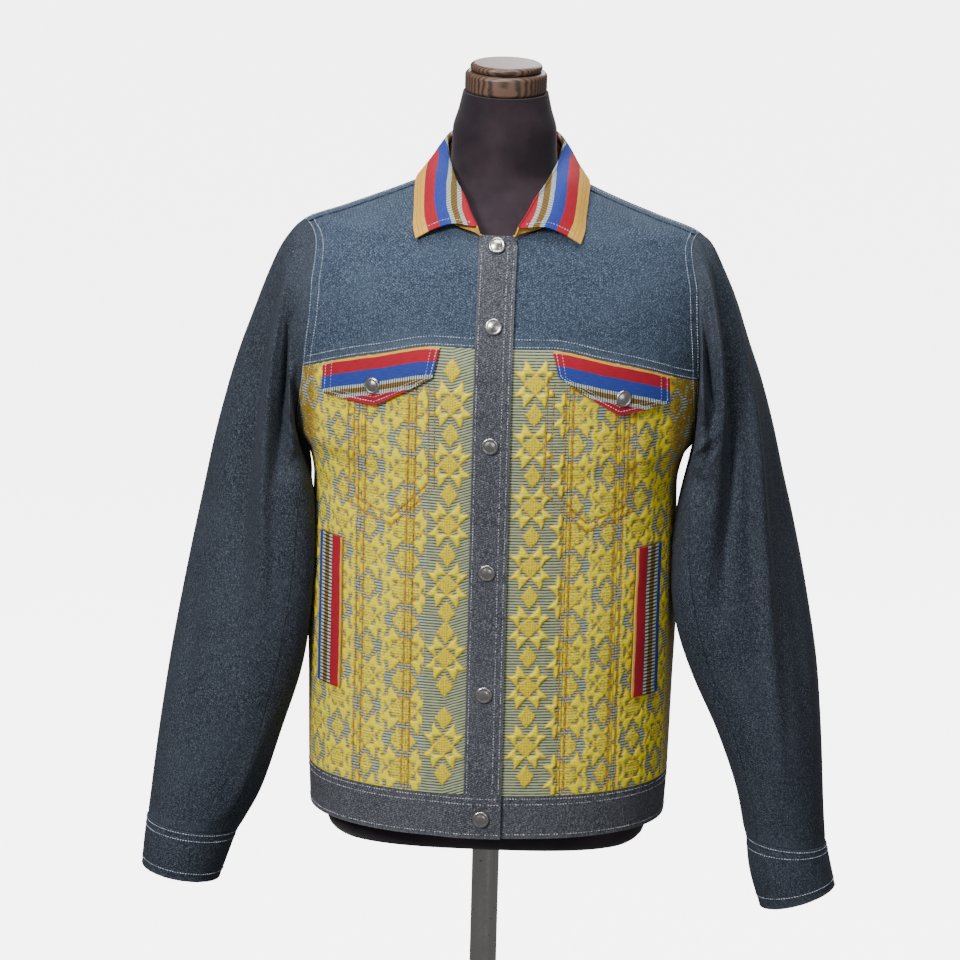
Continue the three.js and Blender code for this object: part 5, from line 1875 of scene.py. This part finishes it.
@dataclass
class SleeveAndCuff:
    """One two-piece denim sleeve, set into the armhole, and its cuff."""

    side: Side
    finishes: Finishes
    seam_front: float = 130.0
    seam_back: float = 255.0
    seam_gap: float = 0.32
    tuck: float = 2.6
    tuck_out: float = 0.45
    steps: int = 210
    top_columns: int = 160
    under_columns: int = 76
    cuff_columns: int = 150
    cuff_rows: int = 26
    cuff_cell: float = 23.0
    cuff_row: float = 3.0
    cuff_stitch_places: tuple[float, ...] = (0.1, 0.36, 1.68)
    seam_stitch_angles: tuple[float, ...] = (-1.6, -7.0)
    row_samples: int = 240
    cuff_samples: int = 200
    gather: float = 0.5
    stand_off: float = 0.5
    worn_head: float = 16.0
    worn_foot: float = 9.0
    sleeve_rings: list[SleeveRing] = field(init=False)
    folds: list[Fold] = field(init=False)

    def __post_init__(self) -> None:
        """Takes the tables of its side."""
        self.sleeve_rings = SLEEVE_RINGS[self.side]
        self.folds = SLEEVE_FOLDS[self.side]

    def fold_rise(self, degrees: Array, along: Array) -> Array:
        """How far the folds stand out on a grid of angles and rings."""
        rise = np.zeros((len(along), len(degrees)))
        for fold in self.folds:
            share = np.clip((along - fold.start) / (fold.end - fold.start), 0, 1)
            centre = Curve([0, 0.5, 1], [fold.top, fold.middle, fold.foot])(share)[:, None]
            apart = (degrees[None] - centre + 180) % 360 - 180
            rise += fold.rise * arch(share)[:, None] * bell(apart, fold.wide)
        near_cuff = np.exp(-((self.last - along) / 0.5))[:, None]
        waves = np.sin(np.radians(degrees * 11)) + 0.7 * np.sin(np.radians(degrees * 7 + 40))
        return rise + self.gather * near_cuff * waves[None] * smooth(6 * (self.last - along))[:, None]

    @property
    def last(self) -> int:
        """The place of the last ring along the sleeve."""
        return len(self.sleeve_rings)

    def points(self, degrees: Array, along: Array) -> Array:
        """Points of the sleeve's outer side on a grid of places along it by angles."""
        edge = ARMHOLE.edge(self.side, degrees) + np.array([self.stand_off * self.side.value, 0, 0])
        knots = np.stack([edge] + [ring.point(self.side, degrees) for ring in self.sleeve_rings])
        p = spline(knots, along)
        middles = np.stack([ring.centre(self.side) for ring in self.sleeve_rings])
        places = np.arange(1, self.last + 1)
        centres = np.stack([np.interp(along, places, middle) for middle in middles.T], -1)
        p += unit(p - centres[:, None]) * self.fold_rise(degrees, along)[..., None]
        ease = np.minimum(1, 2 * along)[:, None]
        limit = BODY.side(p[..., 1], p[..., 2]) + mix(self.stand_off, BODY_CLEARANCE, ease)
        short = limit - np.abs(p[..., 0])
        blend = 3 * ease + 1e-3
        soft = np.where(short < blend, (short + blend) ** 2 / (4 * blend), short)
        p[..., 0] += self.side.value * np.where(short > -blend, soft, 0)
        return p

    def normals(self, degrees: Array, along: Array) -> Array:
        """The directions out of the sleeve on the same grid."""
        down = self.points(degrees, np.minimum(self.last, along + 0.02))
        down = down - self.points(degrees, np.maximum(0, along - 0.02))
        round_way = self.points(degrees + 1, along) - self.points(degrees - 1, along)
        return unit(np.cross(round_way, down)) * self.side.value

    def build(self) -> None:
        """Builds the sleeve's two pieces and the cuff."""
        top = (self.seam_back - 360 + self.seam_gap, self.seam_front - self.seam_gap)
        under = (self.seam_front + self.seam_gap, self.seam_back - self.seam_gap)
        self.piece(f"sleeve_top_{self.side.word}", *top, self.top_columns)
        self.piece(f"sleeve_under_{self.side.word}", *under, self.under_columns)
        self.cuff()

    def piece(self, name: str, start: float, end: float, columns: int) -> None:
        """One piece of the sleeve between two of its angles."""
        degrees = np.linspace(start, end, columns)
        along = np.linspace(0, self.last, self.steps)
        outer = self.points(degrees, along)
        inner = outer - self.normals(degrees, along) * DENIM_THICK
        from_middle = (outer[0] - np.array([0, ARMHOLE.y, ARMHOLE.height])) * np.array([0, 1, 1])
        turned_in = self.tuck_out * unit(from_middle) - np.array([self.side.value * self.tuck, 0, 0])
        outer = np.concatenate([(outer[0] + turned_in)[None], outer])
        inner = np.concatenate([(outer[0] - self.tuck_out * 3 * unit(from_middle))[None], inner])
        along = np.concatenate([[0], along])
        down = travelled(outer[:, columns // 2])
        across = np.broadcast_to(degrees, outer.shape[:2])
        from_top = np.broadcast_to(down[:, None], across.shape)
        rise = self.fold_rise(degrees, along)
        rubbed_ends = 0.5 * bell(from_top, self.worn_head) + 0.35 * bell(down[-1] - from_top, self.worn_foot)
        # Lighter on the fold crests in step with their rise: a painted highlight on the crests, added to the
        # real rubbed wear at the sleeve's head and foot.
        wear_and_fold_highlight = 0.02 * np.clip(rise, 0, 5) + rubbed_ends
        cut = Cut(outer[::2, ::2], [f"front_yoke_{self.side.word}", "back_yoke"])
        # Dressed in the darker copy of the denim, which is painted shade.
        sheet(name, Wall(outer, inner, across, from_top), INNER_STEP, {"wear_and_fold_highlight": wear_and_fold_highlight},
              self.finishes.shaded_sleeve_denim, Slot.DENIM, cut)

    def cuff_points(self, degrees: Array, along: Array) -> Array:
        """Points of the cuff's outer side."""
        return spline(np.stack([ring.point(self.side, degrees) for ring in CUFF_RINGS[self.side]]), along)

    def cuff_centres(self, along: Array) -> Array:
        """The middle of the cuff at places along it."""
        return spline(np.stack([ring.centre(self.side) for ring in CUFF_RINGS[self.side]]), along)

    def cuff(self) -> None:
        """The cuff, open down its back seam."""
        degrees = np.linspace(self.seam_back - 360 + 0.3, self.seam_back - 0.3, self.cuff_columns)
        along = np.linspace(0, 2, self.cuff_rows)
        outer = self.cuff_points(degrees, along)
        inward = unit(self.cuff_centres(along)[:, None] - outer)
        from_ends = np.minimum(along, 2 - along)[:, None] * self.cuff_cell
        pucker = seam_pucker(degrees[None], from_ends - 2, 7, 0.14)
        groove = 0.3 * bell(from_ends - self.cuff_row, 1.3) - pucker
        wall = Wall(outer + inward * groove[..., None], outer + inward * DOUBLED,
                    np.broadcast_to(degrees, outer.shape[:2]),
                    np.broadcast_to(-along[:, None] * self.cuff_cell, outer.shape[:2]))
        wear_and_fold_highlight = 0.6 * bell(from_ends, 1.8) + 0 * degrees[None]
        cut = Cut(outer, [f"sleeve_top_{self.side.word}", f"sleeve_under_{self.side.word}"])
        # Dressed in the darker copy of the denim, which is painted shade.
        sheet(f"cuff_{self.side.word}", wall, INNER_STEP, {"wear_and_fold_highlight": wear_and_fold_highlight}, self.finishes.shaded_sleeve_denim,
              Slot.DENIM, cut)

    def rows(self) -> list[Row]:
        """The topstitching of the cuff and of the sleeve's back seam."""
        degrees = np.linspace(self.seam_back - 358, self.seam_back - 2, self.cuff_samples)
        made = []
        for along in self.cuff_stitch_places:
            place = np.array([along])
            points = self.cuff_points(degrees, place)[0]
            made.append(Row(points, unit(points - self.cuff_centres(place)[0])))
        along = np.linspace(0.1, self.last - 0.05, self.row_samples)
        for offset in self.seam_stitch_angles:
            angle = np.array([self.seam_back + offset])
            made.append(Row(self.points(angle, along)[:, 0], self.normals(angle, along)[:, 0]))
        return made


class CollarStation(NamedTuple):
    """The collar at one place round the neck: its neck seam, fold and leaf edge, and its bulge."""

    neck: tuple[float, float, float]
    fold: tuple[float, float, float]
    edge: tuple[float, float, float]
    bulge: float


@dataclass
class Collar:
    """The striped collar, turned down over the neck seam."""

    finishes: Finishes
    thickness: float = 1.2
    roll: float = 3.2
    stand_sag: float = 3.5
    ticks_in: float = 44.0
    end_row: int = 4
    inner_step: int = 2
    columns: int = 220
    rows: int = 56
    stations: tuple[CollarStation, ...] = (
        CollarStation((14, -97.5, 558.5), (17, -98.5, 566), (75, -84, 550), 8),
        CollarStation((36, -84.5, 562), (24, -84, 575), (78, -70, 559), 12),
        CollarStation((47, -75.5, 567), (31, -69, 586.5), (78.5, -54, 570), 12),
        CollarStation((59, -57, 577), (40, -49, 597), (79.5, -32, 583), 9),
        CollarStation((65, -32.5, 588), (46.5, -21, 605.5), (79.5, -8, 590), 6),
        CollarStation((67.5, -6, 592), (51, 5, 613.5), (75.5, 17, 591), 4),
        CollarStation((62, 28, 592), (51, 28, 622), (66, 46, 584), 3),
        CollarStation((38, 52, 592), (35, 46, 629), (44, 73, 575), 4),
        CollarStation((0, 62, 592), (0, 53, 632), (0, 82, 573), 4),
    )

    def path(self, station: CollarStation, sign: int) -> Array:
        """The collar's section at a station: up from the neck, over the fold, down the leaf."""
        neck, fold, edge = (np.array(p, float) for p in station[:3])
        up = np.array([0, 0, 1.0])
        away = unit((edge - fold) * np.array([1, 1, 0]))
        shoulder = fold + away * 1.6 * self.roll - up * 0.1 * self.roll

        def leaf(share: float) -> Array:
            """A point down the leaf."""
            rise = station.bulge * math.sin(math.pi * share**0.7)
            return mix(shoulder, edge, share) + up * rise * 0.7 + away * rise * 0.5

        crest = fold + away * 0.55 * self.roll + up * 0.35 * self.roll
        points = [neck, mix(neck, fold, 0.45) - up * self.stand_sag, fold - up * self.roll, crest,
                  shoulder, leaf(0.3), leaf(0.65), edge]
        return np.stack(points) * np.array([sign, 1, 1])

    def surface(self) -> Array:
        """The collar's outer side, rows down the leaf by columns round the neck."""
        right = [self.path(station, -1) for station in self.stations]
        left = [self.path(station, 1) for station in self.stations[:-1]]
        knots = np.stack(right + left[::-1], 1)
        down = spline(knots, np.linspace(0, len(knots) - 1, self.rows))
        stations = down.swapaxes(0, 1)
        return spline(stations, np.linspace(0, len(stations) - 1, self.columns)).swapaxes(0, 1)

    def frame(self) -> tuple[Array, Array, Array, Array]:
        """The surface, its normals, the distance in from the leaf's edge and the place round it."""
        p = self.surface()
        normal = unit(np.cross(np.gradient(p, axis=1), np.gradient(p, axis=0)))
        steps = np.linalg.norm(np.diff(p, axis=0), axis=-1)[::-1]
        from_edge = np.concatenate([np.zeros((1, p.shape[1])), np.cumsum(steps, axis=0)])[::-1]
        ticked = int(np.abs(from_edge.mean(axis=1) - self.ticks_in).argmin())
        around = np.broadcast_to(travelled(p[ticked]), from_edge.shape)
        return p, normal, from_edge, around

    def build(self) -> None:
        """Builds the collar."""
        p, normal, from_edge, around = self.frame()
        wall = Wall(p, p - normal * self.thickness, around, from_edge)
        cut = Cut(p, ["front_yoke_right", "front_yoke_left", "back_yoke"], "folded")
        sheet("collar", wall, self.inner_step, {}, self.finishes.collar, Slot.STRIPE, cut)

    def stitch_rows(self) -> list[Row]:
        """The stitching down the leaf's two front ends."""
        p, normal, _, _ = self.frame()
        inset = self.end_row
        leaf = slice(self.rows * 4 // 7, self.rows - inset)
        return [Row(p[leaf, c], normal[leaf, c]) for c in (inset, self.columns - 1 - inset)]


@dataclass
class Topstitching:
    """The rows of sewing that show on the body, sleeves, collar and pockets."""

    finishes: Finishes
    closure: Closure
    pockets: Pockets
    lift: float = 0.12
    samples: int = 400
    twin_rows: tuple[float, float] = (2.0, 8.6)
    armhole_backs: tuple[float, float] = (2.2, 9.0)
    shoulder_backs: tuple[float, float] = (2.2, 8.4)
    edge_row: float = 2.6
    placket_second: float = 8.2
    band_second: float = 8.0
    band_foot: float = 4.0
    flap_insets: tuple[Point2, ...] = ((0.024, 0.08), (0.075, 0.17))
    flap_head: float = 0.05
    flap_samples: tuple[int, ...] = (60, 200, 60)
    row_from_x: float = 17.0
    armhole_turn: float = 172.0
    underarm: float = 0.22

    def front_row(self, side: Side, x: Array, height: Array) -> Row:
        """A row on one side of the front, given by distances from the centre line."""
        return body_row(side.value * BODY.angle_at_x(x, height), height, self.lift)

    def yoke_rows(self) -> list[Row]:
        """Double rows above the yoke seams, beside the armholes and along the shoulders."""
        made = []
        for side in Side:
            foot_x = yoke_foot_x(side, 4)
            for rise, end in zip(self.twin_rows, (foot_x - 1, foot_x - 4)):
                x = np.linspace(self.row_from_x, end, self.samples)
                made.append(self.front_row(side, x, YOKE_SEAM(x) + rise))
            made += [self.armhole_row(side, back) for back in self.armhole_backs]
            made += [self.shoulder_row(side, back) for back in self.shoulder_backs]
        for rise in self.twin_rows:
            height = np.full(self.samples, BACK_YOKE_HEIGHT + rise)
            edge = BODY.angle_at_y(ARMHOLE.cloth_edge_y(Side.LEFT, height[0], 1), height[0]) + 0.03
            made.append(body_row(np.linspace(edge, 2 * np.pi - edge, self.samples), height, self.lift))
        return made

    def armhole_row(self, side: Side, back: float) -> Row:
        """A row round the armhole, on the body's cloth, a distance back from the edge."""
        turn = np.radians(np.linspace(-self.armhole_turn, self.armhole_turn, 2 * self.samples))
        depth = ARMHOLE.depth(side, -np.sin(turn)) + back
        height = ARMHOLE.height + (ARMHOLE.half_height + back * 0.4) * np.cos(turn)
        y = ARMHOLE.y - depth * np.sin(turn)
        usable = (np.abs(np.sin(turn)) > self.underarm) | (np.cos(turn) > 0)
        row = body_row(side.value * BODY.angle_at_y(y, height), height, self.lift)
        return Row(row.points[usable], row.outward[usable])

    def shoulder_row(self, side: Side, behind: float) -> Row:
        """A row along the shoulder, behind its seam."""
        height = np.linspace(SHOULDER_POINT + 1, SIDE_NECK - 3, self.samples)
        angle = side.value * BODY.angle_at_y(np.full(height.shape, SHOULDER_SEAM_Y + behind), height)
        return body_row(angle, height, self.lift)

    def charcoal_rows(self) -> list[Row]:
        """Rows down the placket's edges and round the hem band."""
        made = []
        height = np.linspace(BAND_HEIGHT + 2, FRONT_NECK - 8, 2 * self.samples)
        out = self.closure.out + self.lift - 0.2
        inset = self.edge_row
        second = PLACKET_LEFT_EDGE - self.placket_second
        for x in (PLACKET_RIGHT_EDGE + inset, PLACKET_LEFT_EDGE - inset, second):
            made.append(body_row(BODY.angle_at_x(x, height), height, out))
        for level in (BAND_HEIGHT - inset, BAND_HEIGHT - self.band_second, self.band_foot):
            start, end = (BODY.angle_at_x(PLACKET_LEFT_EDGE + beside, level) for beside in (2, -2))
            angle = np.linspace(start, 2 * np.pi + end, 3 * self.samples)
            heights = np.full(angle.shape, level)
            made.append(body_row(angle, heights, self.closure.band_out(angle, heights) + self.lift - 0.1))
        return made

    def jacquard_rows(self) -> list[Row]:
        """Double rows down the upright seams and round the pocket bags."""
        made = []
        for side in Side:
            for x in PRINCESS_ROWS:
                height = np.linspace(BAND_HEIGHT + 2, float(YOKE_SEAM(x)) - 3, 2 * self.samples)
                under_flap = height > FLAPS[side].foot(np.array(x))
                made.append(self.front_row(side, np.full(height.shape, x)[~under_flap], height[~under_flap]))
            for outline in POCKET_LINES.outlines:
                corners = np.array(outline)
                far = travelled(corners)
                stops = np.linspace(0, far[-1], self.samples)
                x, height = (np.interp(stops, far, corners[:, i]) for i in (0, 1))
                shown = height < FLAPS[side].foot(x) - 1
                made.append(self.front_row(side, x[shown], height[shown]))
        return made

    def stripe_rows(self, collar: Collar) -> list[Row]:
        """Rows round the flaps and down the collar's front ends."""
        made = collar.stitch_rows()
        for side, size in FLAPS.items():
            for inset, foot_inset in self.flap_insets:
                head, foot, far = self.flap_head, 1 - foot_inset, 1 - inset
                corners = np.array([(inset, head), (inset, foot), (far, foot), (far, head)])
                parts = [np.linspace(a, b, n) for a, b, n in zip(corners, corners[1:], self.flap_samples)]
                share, down = np.concatenate(parts).T
                angle, height = self.pockets.flap_place(side, size, share, down)
                belly = self.pockets.belly(share, down) - 0.25
                made.append(body_row(angle, height, self.pockets.flap_out(down) + belly + self.lift))
        return made

    def build(self, collar: Collar, sleeves: Sequence[SleeveAndCuff]) -> None:
        """Sews every row."""
        pale, grey, tan = self.finishes.pale_thread, self.finishes.grey_thread, self.finishes.tan_thread
        denim_rows = self.yoke_rows() + [row for sleeve in sleeves for row in sleeve.rows()]
        for name, rows, thread, material, slot in (
                ("denim", denim_rows, Thread(), pale, Slot.DENIM),
                ("charcoal", self.charcoal_rows(), Thread(2.6, 1.7), grey, Slot.CHARCOAL),
                ("jacquard", self.jacquard_rows(), Thread(3.4, 3.0, 0.8, 0.35), tan, Slot.JACQUARD),
                ("stripe", self.stripe_rows(collar), Thread(2.8, 2.0, 0.75, 0.32), pale, Slot.STRIPE)):
            placed(stitched(f"{name}_topstitching", rows, thread), material, slot)


@dataclass
class DressForm:
    """The limbless form with its neck, and its turned wooden cap."""

    finishes: Finishes
    columns: int = 120
    cap_foot: float = 671.4
    cap_rim: float = 690.0
    cap_top: float = 698.0
    low_radius: float = 37.5
    top_radius: float = 33.0
    groove_radius: float = 31.5
    cap_segments: int = 96

    def build(self) -> None:
        """Builds the form and its cap."""
        heights = np.concatenate([
            [-28, -27, -25, -22], np.linspace(-18, 540, 110), np.linspace(543, 671, 70)])
        turns = np.linspace(0, 2 * np.pi, self.columns, endpoint=False)
        body = FORM.point(turns[None], heights[:, None])
        placed(ringed_object("form_torso_smooth", body), self.finishes.jersey, Slot.FORM, "form_torso")
        low, rim, r = self.cap_foot, self.cap_rim, self.low_radius
        lower = filleted([
            (0.2, low), (r - 1.5, low), (r, low + 2), (r, rim - 2.5), (r - 2, rim), (0.2, rim)], 1.2)
        foot, r, groove, top = rim + SEAM_GAP, self.top_radius, self.groove_radius, self.cap_top
        upper = filleted([
            (0.2, foot), (groove, foot), (r, foot + 2.2), (r, top - 2.4), (r - 3, top - 0.4),
            (0.2, top)], 1.4)
        for name, outline in (("neck_cap_lower", lower), ("neck_cap_upper", upper)):
            piece = ringed_object(f"{name}_turned", turned_rings(outline, self.cap_segments))
            placed(piece, self.finishes.wood, Slot.WOOD, name)


@dataclass
class Stand:
    """The tube and round base that carry the form, in heights above the floor."""

    finishes: Finishes
    base_radius: float = 170.0
    base_height: float = 12.0
    boss_radius: float = 24.0
    boss_height: float = 32.0
    pole_radius: float = 12.5
    form_foot: float = -28.0
    pole_segments: int = 64
    base_segments: int = 128

    def build(self) -> None:
        """Builds the tube and the base."""
        foot, head = self.boss_height + SEAM_GAP - HEM_Z, self.form_foot - SEAM_GAP
        r = self.pole_radius
        tube = filleted([(0.2, foot), (r, foot), (r, head), (0.2, head)], 0.8)
        pole = ringed_object("stand_pole_tube", turned_rings(tube, self.pole_segments))
        placed(pole, self.finishes.chrome, Slot.POLE, "stand_pole")
        r, h, boss, top = self.base_radius, self.base_height, self.boss_radius, self.boss_height
        outline = [
            (0.2, 0), (r - 1, 0), (r, 1.5), (r, h - 5), (r - 5, h - 1), (boss + 3, h + 1),
            (boss, h + 4), (boss - 2, top - 1.5), (boss - 4, top), (0.2, top)]
        disc = turned_rings(filleted(outline, 2.0), self.base_segments) - np.array([0, 0, HEM_Z])
        placed(ringed_object("stand_base_coated", disc), self.finishes.paint, Slot.BASE, "stand_base")


@dataclass(frozen=True)
class Lamp:
    """A square area light: where it stands, what it's aimed at, its side and its watts."""

    name: str
    place: tuple[float, float, float]
    target: tuple[float, float, float]
    size: float
    power: float


@dataclass
class Studio:
    """The floor, the soft lights and the camera at the photograph's angle."""

    lamps: tuple[Lamp, ...] = (
        Lamp("key", (-2.0, -3.1, 3.2), (0, 0, 1.1), 1.1, 215),
        Lamp("fill", (1.9, -3.6, 1.8), (0, 0, 1.0), 1.6, 26),
        Lamp("back", (0.6, 3.2, 2.8), (0, 0, 1.1), 2.0, 80),
        Lamp("overhead", (0, -0.6, 4.2), (0, 0, 0), 1.8, 130),
    )
    sky: str = "#f3f5f8"
    sky_strength: float = 0.24
    distance: float = 8.0
    mm_per_pixel: float = 0.92
    azimuth: float = 2.5
    elevation: float = 14.0
    roll: float = 1.5
    aim_pixels: float = 15.5
    aim_height: float = 1006.0
    image_pixels: int = 960
    sensor: float = 36.0
    floor_half: float = 40.0
    floor_drop: float = 0.0005

    def build(self) -> None:
        """Places the floor, the lights and the camera."""
        self.floor()
        self.world()
        for lamp in self.lamps:
            self.light(lamp)
        self.camera()

    def floor(self) -> None:
        """A pale floor, wide enough to fill the view, whose glow doesn't reach the jacket."""
        half = self.floor_half
        mesh = bpy.data.meshes.new("studio_floor")
        corners = [(x * half, y * half, -self.floor_drop) for x, y in ((-1, -1), (1, -1), (1, 1), (-1, 1))]
        mesh.from_pydata(corners, [], [(0, 1, 2, 3)])
        mesh.materials.append(StudioFloor().make())
        floor = bpy.data.objects.new("studio_floor", mesh)
        floor.visible_diffuse = False
        floor.visible_glossy = False
        bpy.context.scene.collection.objects.link(floor)

    def world(self) -> None:
        """An even white light from all round."""
        world = bpy.data.worlds.new("studio_world")
        world.use_nodes = True
        background = world.node_tree.nodes["Background"]
        background.inputs["Color"].default_value = linear(self.sky)
        background.inputs["Strength"].default_value = self.sky_strength
        bpy.context.scene.world = world

    @staticmethod
    def light(lamp: Lamp) -> None:
        """Places one light."""
        data = bpy.data.lights.new(lamp.name, "AREA")
        data.size = lamp.size
        data.energy = lamp.power
        made = bpy.data.objects.new(lamp.name, data)
        made.location = lamp.place
        way = Vector(lamp.target) - Vector(lamp.place)
        made.rotation_euler = way.to_track_quat("-Z", "Y").to_euler()
        bpy.context.scene.collection.objects.link(made)

    def camera(self) -> None:
        """The camera, rolled and aimed as the photograph was taken."""
        turn, lift, roll = (math.radians(a) for a in (self.azimuth, self.elevation, self.roll))
        right = Vector((math.cos(turn), math.sin(turn), 0))
        back = Vector((math.sin(turn) * math.cos(lift), -math.cos(turn) * math.cos(lift), math.sin(lift)))
        up = Vector((-math.sin(turn) * math.sin(lift), math.cos(turn) * math.sin(lift), math.cos(lift)))
        aim = Vector((0, 0, self.aim_height * MM)) - right * self.aim_pixels * self.mm_per_pixel * MM
        x_axis = right * math.cos(roll) + up * math.sin(roll)
        y_axis = up * math.cos(roll) - right * math.sin(roll)
        data = bpy.data.cameras.new("camera")
        data.sensor_width = self.sensor
        data.lens = self.distance / (self.mm_per_pixel * MM) / self.image_pixels * self.sensor
        made = bpy.data.objects.new("camera", data)
        made.matrix_world = Matrix.Translation(aim + back * self.distance) @ Matrix(
            (x_axis, y_axis, back)).transposed().to_4x4()
        bpy.context.scene.collection.objects.link(made)
        bpy.context.scene.camera = made


def main() -> None:
    """Builds the sub-assemblies in order."""
    logging.basicConfig(level=logging.INFO, format="%(name)s %(message)s")
    Studio().build()
    finishes = Finishes()
    DressForm(finishes).build()
    Stand(finishes).build()
    JacquardPanels(finishes).build()
    Yokes(finishes).build()
    closure = Closure(finishes)
    closure.build()
    pockets = Pockets(finishes)
    pockets.build()
    collar = Collar(finishes)
    collar.build()
    sleeves = [SleeveAndCuff(side, finishes) for side in Side]
    for sleeve in sleeves:
        sleeve.build()
    Topstitching(finishes, closure, pockets).build(collar, sleeves)


if __name__ == "__main__":
    main()
